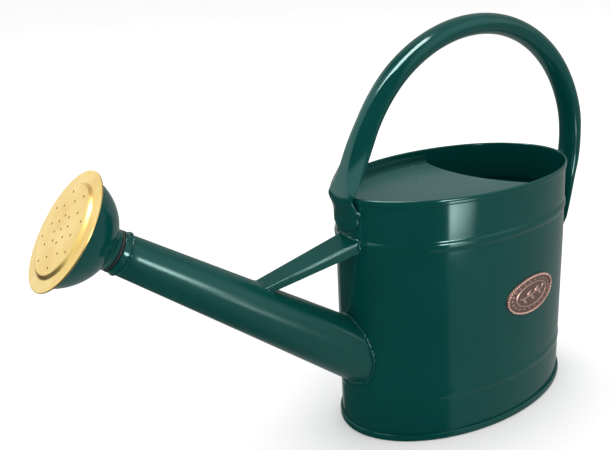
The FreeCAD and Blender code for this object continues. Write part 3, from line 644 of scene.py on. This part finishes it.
def brace_foot_weld():
    """The bead between the brace and the spout."""
    path = [rail[0] for rail in brace_rails(-0.3)]
    bead = weld_bead(refined(path, 50), AXIS, 0.9, 43, lumps=0.5)
    return build("brace_lower_bead", [bead], sharp=60.0)


def refined(path, count):
    """The same path with count points at even spacing."""
    path = np.array(path)
    steps = np.concatenate(([0.0], np.cumsum(np.linalg.norm(np.diff(path, axis=0), axis=1))))
    wanted = np.linspace(0.0, steps[-1], count)
    return np.stack([np.interp(wanted, steps, path[:, k]) for k in range(3)], axis=1)


# -------- the rose

DISC_RISE = 2.0
DISC_RADIUS = 28.6
HOLE_RADIUS = 0.8
# Radius of each ring of eight holes, and the angle it starts at.
HOLE_RINGS = ((8.9, 27.5), (18.2, 5.0), (24.9, 27.5))
BOWL_ARC = 37.0


def rose_washer():
    """The rubber ring on the stem, slightly squeezed."""
    outline = ((SOCKET_BORE, WASHER_LOW), (13.7, WASHER_LOW), (13.7, WASHER_HIGH), (SOCKET_BORE, WASHER_HIGH))
    return build("washer_ring", [turned(rounded(outline, 0.5))])


def rose_stem():
    """The tube that slides in the ferrule."""
    bore = STEM_RADIUS - GAUGE
    outline = ((bore, STEM_LOW), (STEM_RADIUS, STEM_LOW), (STEM_RADIUS, STEM_HIGH), (bore, STEM_HIGH))
    return build("stem_tube", [turned(rounded(outline, 0.3))])


def rose_neck():
    """The flared sleeve between the washer and the bowl."""
    outline = [(STEM_RADIUS, NECK_LOW), (13.3, NECK_LOW), (13.8, 215.7), (13.95, 216.2), (14.05, 217.0)]
    outline += [(14.3, 218.0), (14.75, 219.0), (15.2, NECK_HIGH), (STEM_RADIUS, NECK_HIGH)]
    return build("neck_sleeve", [turned(outline)])


def bowl_profile(inward):
    """The bowl's curve from the neck to its rim, as an arc, moved inward by a gauge."""
    start, finish = np.array((15.2, NECK_HIGH)), np.array((36.0, FACE_AT - 2.0 * GAUGE))
    chord = finish - start
    middle = (start + finish) / 2.0
    across = np.array((chord[1], -chord[0])) / np.linalg.norm(chord)
    centre = middle - across * math.sqrt(BOWL_ARC ** 2 - (chord @ chord) / 4.0)
    angles = [math.atan2(*(point - centre)[::-1]) for point in (start, finish)]
    sweep = np.linspace(angles[0], angles[1], 22)
    return [centre + (BOWL_ARC - inward) * np.array((math.cos(a), math.sin(a))) for a in sweep]


def rose_bowl():
    """The spun bowl, turned out at its rim to carry the face."""
    rim = FACE_AT - GAUGE
    outline = [(STEM_RADIUS, NECK_HIGH)] + [tuple(p) for p in bowl_profile(0.0)]
    outline += [(36.5, rim - 0.8), (38.0, rim - 0.6), (38.4, rim - 0.3), (38.4, rim), (35.6, rim)]
    outline += [tuple(p) for p in reversed(bowl_profile(GAUGE))]
    outline += [(STEM_RADIUS, NECK_HIGH + GAUGE)]
    return build("bowl_shell", [turned(outline)], sharp=40.0)


def face_ring():
    """The face's lip, flange and the slope up to its disc."""
    back, front = FACE_AT - GAUGE, FACE_AT
    outline = [(DISC_RADIUS, back + DISC_RISE), (29.3, back + 1.85), (31.0, back + 0.15), (31.8, back)]
    outline += [(38.8, back), (38.8, front - 1.2), (39.25, front - 1.2), (39.45, front - 0.95)]
    outline += [(39.5, front - 0.6)]
    outline += [(39.45, front - 0.2), (39.1, front - 0.03), (38.6, front), (32.0, front), (31.4, front + 0.1)]
    outline += [(30.9, front + 0.45), (29.6, front + 1.6), (29.1, front + 1.92), (28.5, front + DISC_RISE)]
    return turned(outline, 160)


def face_disc():
    """The flat raised disc with its spray holes, filled in Blender's own 2D curve and thickened."""
    curve = bpy.data.curves.new("disc", "CURVE")
    curve.dimensions = "2D"
    curve.fill_mode = "BOTH"
    curve.extrude = GAUGE / 2.0 * MM
    circles = [(0.0, 0.0, DISC_RADIUS, 96), (0.0, 0.0, HOLE_RADIUS, 12)]
    for radius, begin in HOLE_RINGS:
        for index in range(8):
            angle = math.radians(begin + 45.0 * index)
            circles.append((radius * math.cos(angle), radius * math.sin(angle), HOLE_RADIUS, 12))
    for across, up, radius, count in circles:
        spline = curve.splines.new("POLY")
        spline.points.add(count - 1)
        spline.use_cyclic_u = True
        for index, point in enumerate(spline.points):
            turn = 2.0 * math.pi * index / count
            x, y = across + radius * math.cos(turn), up + radius * math.sin(turn)
            point.co = (x * MM, y * MM, 0.0, 1.0)
    holder = placed("disc", curve)
    graph = bpy.context.evaluated_depsgraph_get()
    mesh = bpy.data.meshes.new_from_object(holder.evaluated_get(graph))
    points = []
    for vertex in mesh.vertices:
        across, up, lift = np.array(vertex.co) / MM
        angle, radius = math.atan2(up, across), math.hypot(across, up)
        points.append(on_axis(radius, FACE_AT + DISC_RISE - GAUGE / 2.0 + lift, angle))
    faces = [tuple(face.vertices) for face in mesh.polygons]
    bpy.data.objects.remove(holder)
    return points, faces


def rose_face():
    """The brass face with its twenty-five spray holes."""
    return build("face_brass", [face_ring(), face_disc()], sharp=30.0)


# -------- the badge

BADGE_X, BADGE_Z = 23.8, 104.9
BADGE_TURN = math.radians(7.6)
BADGE_LONG, BADGE_SHORT = 30.0, 16.0
BADGE_BORDER = 2.4
PLATE_GROUND, PLATE_RISE = 0.85, 0.6
BORDER_BEADS = 62


def badge_point(along, up, grow):
    """A point over the wall where the badge is, at a distance along and up from its middle."""
    wall_y = SEMI_Y * math.sqrt(1.0 - (BADGE_X / SEMI_X) ** 2)
    out = np.array((math.sin(BADGE_TURN), -math.cos(BADGE_TURN)))
    start = np.array((BADGE_X, -wall_y)) + along * np.array((math.cos(BADGE_TURN), math.sin(BADGE_TURN)))
    semis = np.array((SEMI_X + grow, SEMI_Y + grow))
    a = ((out / semis) ** 2).sum()
    b = (start * out / semis ** 2).sum()
    c = ((start / semis) ** 2).sum() - 1.0
    reach = (-b + math.sqrt(b * b - a * c)) / a
    place = start + out * reach
    return np.array((place[0], place[1], BADGE_Z + up))


def leaf(along, up, centre, angle, length, width):
    """Height from 0 to 1 of one leaf of the sprig, with a soft edge and a sunk midrib."""
    across = (along - centre[0]) * math.cos(angle) + (up - centre[1]) * math.sin(angle)
    over = -(along - centre[0]) * math.sin(angle) + (up - centre[1]) * math.cos(angle)
    inside = 1.0 - (across / length) ** 2 - (over / (width * (1.0 - 0.35 * across / length))) ** 2
    rib = 1.0 - 0.45 * math.exp(-(over / 0.28) ** 2)
    return float(smooth(0.0, 1.0, inside * 1.6)) * rib


def sprig(along, up):
    """Height from 0 to 1 of a plain leafy sprig, the badge's generic motif."""
    stem_at = 1.2 * math.sin(along / 7.0)
    height = 0.0
    if abs(along) < 15.5:
        height = float(smooth(0.0, 0.8, 1.0 - abs(up - stem_at) / 0.7))
    for index in range(6):
        root = -12.5 + 5.0 * index
        lean = 0.75 if index % 2 else -0.75
        centre = (root + 3.0, 1.2 * math.sin(root / 7.0) + (2.9 if index % 2 else -2.9))
        height = max(height, leaf(along, up, centre, lean, 3.6, 1.5))
    return height


def plate_relief(share, angle):
    """Height of the plate above its ground at a share of its radius: ridge, row of dots and sprig."""
    long_half, short_half = BADGE_LONG - BADGE_BORDER, BADGE_SHORT - BADGE_BORDER
    along, up = share * long_half * math.cos(angle), share * short_half * math.sin(angle)
    ridge = float(smooth(0.0, 1.0, 1.0 - abs(share - 0.70) / 0.045))
    band = abs(share - 0.86) / 0.07
    dots = float(smooth(0.0, 0.8, 1.0 - band)) * max(0.0, math.cos(22.0 * angle)) ** 0.7
    centre = sprig(along / 0.98, up / 0.98) if share < 0.64 else 0.0
    return max(ridge, dots, centre)


def with_relief(piece, heights):
    """Store each vertex's relief so that the copper can be darker in the hollows."""
    attribute = piece.data.attributes.new("relief", "FLOAT", "POINT")
    attribute.data.foreach_set("value", np.array(heights, np.float32))
    return piece


def badge_plate():
    """The plate with its ridge, dots and sprig in low relief."""
    long_half, short_half = BADGE_LONG - BADGE_BORDER, BADGE_SHORT - BADGE_BORDER
    angles = once_round(264)
    rings = []
    for share in np.concatenate((np.linspace(0.004, 0.64, 44), np.linspace(0.65, 1.0, 30))):
        ring = []
        for angle in angles:
            along, up = share * long_half * math.cos(angle), share * short_half * math.sin(angle)
            ring.append(badge_point(along, up, PLATE_GROUND + PLATE_RISE * plate_relief(share, angle)))
        rings.append(ring)
    rings.append([badge_point(long_half * math.cos(a), short_half * math.sin(a), 0.3) for a in angles])
    piece = build("badge_relief", [ring_skin(rings)], sharp=70.0)
    return with_relief(piece, [badge_depth(v.co, PLATE_GROUND, PLATE_RISE) for v in piece.data.vertices])


def badge_depth(place, ground, rise):
    """Relief of a finished vertex, worked back from how far it stands out of the wall."""
    x, y = place[0] / MM, place[1] / MM
    low, high = -1.0, 4.0
    for _ in range(24):
        middle = (low + high) / 2.0
        if inside_tank((x, y), middle):
            high = middle
        else:
            low = middle
    return min(1.0, max(0.0, (low - ground) / rise))


def badge_border():
    """The raised border, a row of beads round the plate."""
    fine = np.linspace(0.0, 2.0 * math.pi, 2401)
    steps = np.hypot(BADGE_LONG * np.sin(fine), BADGE_SHORT * np.cos(fine))
    travelled = np.concatenate(([0.0], np.cumsum((steps[1:] + steps[:-1]) / 2.0)))
    travelled /= travelled[-1]
    rings = []
    for index in range(BORDER_BEADS * 8):
        share = index / (BORDER_BEADS * 8.0)
        angle = float(np.interp(share, travelled, fine))
        swell = abs(math.sin(math.pi * BORDER_BEADS * share)) ** 0.6
        ring = [(0.0, 0.3), (0.0, 1.0), (0.12, 1.25)]
        for across in np.linspace(0.2, 0.8, 7):
            crown = math.sqrt(max(0.0, 1.0 - ((across - 0.5) / 0.34) ** 2))
            ring.append((across, 1.25 + 0.95 * swell * crown))
        ring += [(0.88, 1.25), (1.0, 1.0), (1.0, 0.3)]
        points = []
        for across, grow in ring:
            long_half = BADGE_LONG - BADGE_BORDER * (1.0 - across)
            short_half = BADGE_SHORT - BADGE_BORDER * (1.0 - across)
            points.append(badge_point(long_half * math.cos(angle), short_half * math.sin(angle), grow))
        rings.append(points)
    piece = build("badge_bead_border", [ring_skin(rings, closed=True)], sharp=70.0)
    return with_relief(piece, [badge_depth(v.co, 0.9, 1.1) for v in piece.data.vertices])


def badge_solder():
    """The film of solder behind the badge, just showing round its edge."""
    film = ((0.3, 0.3), (0.9, 0.3), (0.985, 0.3), (1.0, 0.15), (1.0, 0.0), (0.9, -0.1), (0.3, -0.1))
    rings = []
    for share, grow in film:
        long_half, short_half = share * BADGE_LONG, share * BADGE_SHORT
        rings.append([badge_point(long_half * math.cos(a), short_half * math.sin(a), grow)
                      for a in once_round(200)])
    return build("badge_solder_film", [ring_skin(rings)])


# -------- the handle

FOOT_X = 112.45
FRONT_FOOT_Z = 175.0
# How far from a foot's end the tube is pressed flat, and how far it takes to open again.
FRONT_PRESS = (24.0, 62.0)
REAR_PRESS = (31.0, 60.0)
STRIP_THICK, STRIP_WIDE = 2.3, 31.0
# The hollow pinched into each side of the front leg: distance from the foot's end, and the two angles
# round the section that it lies between there. The rear leg has the same one.
PINCH = ((24.0, 150.0, 205.0), (34.0, 128.0, 205.0), (46.0, 118.0, 204.0), (58.0, 118.0, 201.0),
         (74.0, 119.0, 195.0), (90.0, 119.0, 182.0), (106.0, 120.0, 176.0), (120.0, 124.0, 170.0),
         (134.0, 146.0, 150.0))
HOLLOW_DEPTH = 0.03
TUBE_THICK, TUBE_WIDE = 16.5, 21.9


def handle_route():
    """Stops along the handle's middle line: distance, x, z and heading, from the front foot's end."""
    x, z, heading, travelled = -FOOT_X, FRONT_FOOT_Z, math.pi / 2.0, 0.0
    stops = [(0.0, x, z, heading)]

    def go(length, turn=0.0):
        nonlocal x, z, heading, travelled
        steps = max(2, int(length / 1.6))
        part, bend = length / steps, math.radians(turn) / steps
        for _ in range(steps):
            middle = heading + bend / 2.0
            x += part * math.cos(middle)
            z += part * math.sin(middle)
            heading += bend
            travelled += part
            stops.append((travelled, x, z, heading))

    def arc(radius, turn):
        go(radius * math.radians(abs(turn)), turn)

    go(10.0)
    arc(15.0, 16.0)
    go(6.0)
    arc(9.0, -41.0)
    go(59.0, -6.4)
    arc(127.0, -65.0)
    arc(117.5, -119.6)
    lean = heading + math.pi / 2.0
    arc((x - FOOT_X) / (1.0 - math.cos(lean)), -math.degrees(lean))
    go(17.0)
    return stops, travelled


def section_point(angle, square):
    """A point (over, up) of a unit section at an angle in degrees: round at squareness 2, boxier above."""
    up, over = math.sin(math.radians(angle)), math.cos(math.radians(angle))
    reach = (abs(up) ** square + abs(over) ** square) ** (-1.0 / square)
    return np.array((over * reach, up * reach))


def handle_section(size, square, taper, begin, finish):
    """A section (over, up) of the pressed tube, narrower outside by the taper, hollow in each side."""
    def skin(angle):
        over, up = section_point(angle, square)
        return np.array((over * (1.0 - taper * up), up)) * size

    first, last = skin(begin), skin(finish)
    inward = np.array((first[1] - last[1], last[0] - first[0]))
    near = [skin(angle) for angle in np.linspace(90.0, begin, 14)]
    for share in np.linspace(0.0, 1.0, 15)[1:-1]:
        near.append(first + (last - first) * share + inward * HOLLOW_DEPTH * math.sin(math.pi * share))
    near += [skin(angle) for angle in np.linspace(finish, 270.0, 14)]
    far = [point * (-1.0, 1.0) for point in reversed(near[1:-1])]
    return near + far


def pinch(from_end):
    """The section's taper at a distance from a foot's end, and the angles its hollow lies between."""
    nearby = from_end + np.linspace(-7.0, 7.0, 9)
    stops = [stop[0] for stop in PINCH]
    begin = np.interp(nearby, stops, [stop[1] for stop in PINCH]).mean()
    finish = np.interp(nearby, stops, [stop[2] for stop in PINCH]).mean()
    taper = 0.31 * smooth(0.0, 1.0, (from_end - 22.0) / 16.0) * smooth(1.0, 0.0, (from_end - 66.0) / 72.0)
    return float(taper), float(begin), float(finish)


def handle_shape(from_end, pressed, opening):
    """Thickness, width, squareness and wrap round the wall at a distance from a foot's end."""
    share = min(1.0, max(0.0, (from_end - pressed) / opening))
    thick = float(smooth(STRIP_THICK, TUBE_THICK, share ** 0.62))
    wide = float(smooth(STRIP_WIDE, TUBE_WIDE, share ** 0.8))
    square = float(smooth(5.0, 2.0, share))
    wrap = float(smooth(1.0, 0.0, (from_end - 15.0) / 17.0))
    if from_end < 4.0:
        wide *= 0.62 + 0.38 * math.sqrt(max(0.0, 1.0 - (1.0 - from_end / 4.0) ** 2))
    return thick, wide, square, wrap


def handle():
    """One tube over the hoop, pressed into a tongue at each end and bent round the wall there."""
    stops, length = handle_route()
    rings = []
    for distance, x, z, heading in stops:
        front = distance < length / 2.0
        from_end = distance if front else length - distance
        pressed, opening = FRONT_PRESS if front else REAR_PRESS
        thick, wide, square, wrap = handle_shape(from_end, pressed, opening)
        taper, begin, finish = pinch(from_end - pressed + FRONT_PRESS[0])
        size = np.array((wide / 2.0, thick / 2.0))
        across = np.array((-math.sin(heading), 0.0, math.cos(heading)))
        ring = []
        for over, up in handle_section(size, square, taper, begin, finish):
            point = np.array((x, over, z)) + across * up
            inward = wrap * SEMI_X * (1.0 - math.sqrt(1.0 - (over / SEMI_Y) ** 2))
            point[0] += inward if front else -inward
            ring.append(point)
        rings.append(ring)
    return build("handle_tube", [ring_skin(rings)], sharp=60.0)


def foot_solder(name, sign, low, high, seed):
    """The solder run round a foot's edge where it lies on the wall."""
    half = STRIP_WIDE / 2.0 - 0.2
    outline = [(-half, high), (-half, low + 4.0), (-half + 2.0, low + 1.0), (-half + 6.0, low - 0.2)]
    outline += [(-y, z) for y, z in reversed(outline)]
    path = []
    for y, z in outline:
        x = SEMI_X * math.sqrt(1.0 - (y / SEMI_Y) ** 2) + 0.5
        path.append((sign * x, y, z))
    path = refined(path, 110)
    skins = [weld_bead(path, (1.0, 0.0, 0.0), 0.85, seed, lumps=0.55)]
    skins.append(spatter(path[5], 2.3, seed + 2))
    skins.append(spatter(path[9], 1.6, seed + 3))
    return build(name, skins, sharp=60.0)


# -------- the stage

EVEN_LIGHT = 1.12
GLOSS_FLOOR = 0.06
ROSY = (1.0, 0.76, 0.77)


def make_camera():
    """The camera at the photograph's viewing angle."""
    data = bpy.data.cameras.new("camera")
    data.sensor_width = 36.0
    data.lens = 44.04
    data.shift_x = -0.0656
    data.shift_y = -0.0443
    data.clip_start, data.clip_end = 0.05, 60.0
    camera = placed("camera", data)
    yaw, pitch, roll = 0.58303, 0.310756, -0.037322
    ahead = Vector((math.sin(yaw) * math.cos(pitch), math.cos(yaw) * math.cos(pitch), -math.sin(pitch)))
    level = Vector((math.cos(yaw), -math.sin(yaw), 0.0))
    upright = level.cross(ahead)
    right = level * math.cos(roll) + upright * math.sin(roll)
    above = upright * math.cos(roll) - level * math.sin(roll)
    matrix = Matrix((right, above, -ahead)).transposed().to_4x4()
    matrix.translation = Vector((-0.400233, -0.440989, 0.366913))
    camera.matrix_world = matrix
    bpy.context.scene.camera = camera


def soft_panel(name, place, target, width, height, power):
    """A rectangular soft light that faces a target and isn't seen itself."""
    data = bpy.data.lights.new(name, "AREA")
    data.shape = "RECTANGLE"
    data.size, data.size_y = width, height
    data.energy = power
    lamp = placed(name, data)
    lamp.location = place
    aim = Vector(target) - Vector(place)
    lamp.rotation_mode = "QUATERNION"
    lamp.rotation_quaternion = aim.to_track_quat("-Z", "Y")
    lamp.visible_camera = False
    return lamp


def lobe(tree, direction, inner, outer, strength):
    """Strength of one soft patch of the studio: full within inner degrees of its direction, gone by outer."""
    place = tree.nodes.new("ShaderNodeTexCoord")
    toward = tree.nodes.new("ShaderNodeVectorMath")
    toward.operation = "DOT_PRODUCT"
    toward.inputs[1].default_value = Vector(direction).normalized()
    tree.links.new(place.outputs["Generated"], toward.inputs[0])
    share = tree.nodes.new("ShaderNodeMapRange")
    share.interpolation_type = "SMOOTHSTEP"
    begin, full = math.cos(math.radians(outer)), math.cos(math.radians(inner))
    settle(share, From_Min=begin, From_Max=full, To_Max=strength)
    tree.links.new(toward.outputs["Value"], share.inputs["Value"])
    return share.outputs["Result"]


def chosen(tree, kind, first, second):
    """The larger (MAXIMUM) or smaller (MINIMUM) of two strengths."""
    node = tree.nodes.new("ShaderNodeMath")
    node.operation = kind
    tree.links.new(first, node.inputs[0])
    if isinstance(second, float):
        node.inputs[1].default_value = second
    else:
        tree.links.new(second, node.inputs[1])
    return node.outputs[0]


def make_world():
    """An even pale studio light; what shows in the gloss is dimmer, with a few soft patches."""
    world = bpy.data.worlds.new("studio")
    bpy.context.scene.world = world
    world.use_nodes = True
    tree = world.node_tree
    tree.nodes.clear()
    output = tree.nodes.new("ShaderNodeOutputWorld")
    even = tree.nodes.new("ShaderNodeBackground")
    settle(even, Color=(1.0, 1.0, 1.0, 1.0), Strength=EVEN_LIGHT)
    patches = tree.nodes.new("ShaderNodeBackground")
    settle(patches, Color=(0.98, 1.0, 0.99, 1.0))
    right_wall = lobe(tree, (1.0, 0.0, 0.0), 86.0, 91.0, 0.34)
    behind_left = lobe(tree, (-0.42, 0.90, 0.08), 22.0, 44.0, 1.02)
    above_floor = lobe(tree, (0.0, 0.0, 1.0), 90.0, 104.0, 2.0)
    upper_left = lobe(tree, (-0.78, 0.15, 0.60), 28.0, 42.0, 1.15)
    upper_front = lobe(tree, (0.55, -0.65, 0.60), 20.0, 42.0, 0.85)
    behind_left = chosen(tree, "MINIMUM", behind_left, above_floor)
    strength = chosen(tree, "MAXIMUM", right_wall, behind_left)
    strength = chosen(tree, "MAXIMUM", strength, upper_left)
    strength = chosen(tree, "MAXIMUM", strength, upper_front)
    strength = chosen(tree, "MAXIMUM", strength, GLOSS_FLOOR)
    tree.links.new(strength, patches.inputs["Strength"])
    path = tree.nodes.new("ShaderNodeLightPath")
    mix = tree.nodes.new("ShaderNodeMixShader")
    tree.links.new(path.outputs["Is Glossy Ray"], mix.inputs["Fac"])
    tree.links.new(even.outputs["Background"], mix.inputs[1])
    tree.links.new(patches.outputs["Background"], mix.inputs[2])
    tree.links.new(mix.outputs["Shader"], output.inputs["Surface"])


def make_floor(material):
    """A wide pale floor."""
    mesh = bpy.data.meshes.new("floor")
    reach = 30.0
    corners = [(-reach, -reach, 0.0), (reach, -reach, 0.0), (reach, reach, 0.0), (-reach, reach, 0.0)]
    mesh.from_pydata(corners, [], [(0, 1, 2, 3)])
    mesh.materials.append(material)
    floor = placed("floor", mesh)
    floor.visible_glossy = False


def fade(lamp, left, right, bottom, top):
    """Let a panel's light fade across its width and up its height."""
    lamp.data.use_nodes = True
    tree = lamp.data.node_tree
    place = tree.nodes.new("ShaderNodeNewGeometry")
    split = tree.nodes.new("ShaderNodeSeparateXYZ")
    tree.links.new(place.outputs["Parametric"], split.inputs["Vector"])
    product = tree.nodes.new("ShaderNodeMath")
    product.operation = "MULTIPLY"
    for index, (axis, start, finish) in enumerate((("X", left, right), ("Y", bottom, top))):
        share = tree.nodes.new("ShaderNodeMapRange")
        settle(share, To_Min=start, To_Max=finish)
        tree.links.new(split.outputs[axis], share.inputs["Value"])
        tree.links.new(share.outputs["Result"], product.inputs[index])
    tree.links.new(product.outputs[0], tree.nodes["Emission"].inputs["Strength"])


def gloss_panel(name, place, target, width, height, power):
    """A panel seen only in gloss, a little rosy because the paint's gloss is greenish."""
    lamp = soft_panel(name, place, target, width, height, power)
    lamp.data.color = ROSY
    lamp.visible_diffuse = False
    return lamp


def make_lights():
    """A broad panel overhead, and three that are seen only in the gloss."""
    overhead = soft_panel("overhead", (0.1, 0.2, 2.6), (0.0, 0.0, 0.0), 3.0, 3.0, 35.0)
    overhead.visible_glossy = False
    window = gloss_panel("window", (0.03, -0.42, 0.045), (0.03, 0.0, 0.045), 0.136, 0.07, 0.17)
    fade(window, 2.4, 0.0, 0.3, 1.2)
    spout_window = gloss_panel("spout_window", (-0.03, -0.42, 0.19), (-0.03, 0.0, 0.19), 0.13, 0.10, 1.0)
    fade(spout_window, 1.5, 0.1, 1.0, 1.0)
    gloss_panel("ceiling_strip", (-0.36, 0.06, 1.3), (-0.32, 0.06, 0.2), 0.36, 0.92, 21.0)


def make_stage():
    """Camera, light, world and floor."""
    bpy.context.scene.view_settings.view_transform = "Standard"
    make_camera()
    make_world()
    make_lights()
    make_floor(floor_paint())


# -------- everything together

def main():
    """Make the stage, then each piece, and hand it in."""
    make_stage()
    sheet = enamel("green_paint", 0.0016, 0.000003, 0.08)
    cover = enamel("green_paint_cover", 0.0010, 0.000004, 0.24, 0.3, 0.32)
    tube = enamel("green_paint_tube", 0.0006, 0.000003, 0.11)
    cone = enamel("green_paint_spout", 0.0010, 0.000006, 0.21)
    weld = enamel("painted_weld", 0.0004, 0.00006, 0.12)
    black, gold, copper = rubber(), brass(), aged_copper()
    # Each maker is named after the CAD node that its piece stands for.
    makers = (
        (tank_wall, "can", "green_paint", sheet),
        (base_plate, "can", "green_paint", sheet),
        (top_cover, "can", "green_paint", cover),
        (spout_tube, "can", "green_paint", cone),
        (spout_socket, "can", "green_paint", tube),
        (socket_weld, "can", "painted_weld", weld),
        (spout_root_weld, "can", "painted_weld", weld),
        (brace, "can", "green_paint", tube),
        (brace_tank_weld, "can", "painted_weld", weld),
        (brace_foot_weld, "can", "painted_weld", weld),
        (rose_washer, "washer", "black_rubber", black),
        (rose_stem, "rose", "green_paint", tube),
        (rose_neck, "rose", "green_paint", tube),
        (rose_bowl, "rose", "green_paint", tube),
        (rose_face, "rose", "brass", gold),
        (badge_plate, "can", "aged_copper", copper),
        (badge_border, "can", "aged_copper", copper),
        (badge_solder, "can", "painted_weld", weld),
        (handle, "can", "green_paint", tube),
    )
    for make, body, slot, material in makers:
        hand_in(make(), body, [make.__name__], material)
    front = foot_solder("front_foot_solder", -1.0, 177.0, 190.0, 51)
    hand_in(front, "can", ["handle_front_solder"], weld)
    rear = foot_solder("rear_foot_solder", 1.0, 94.5, 107.0, 57)
    hand_in(rear, "can", ["handle_rear_solder"], weld)


main()
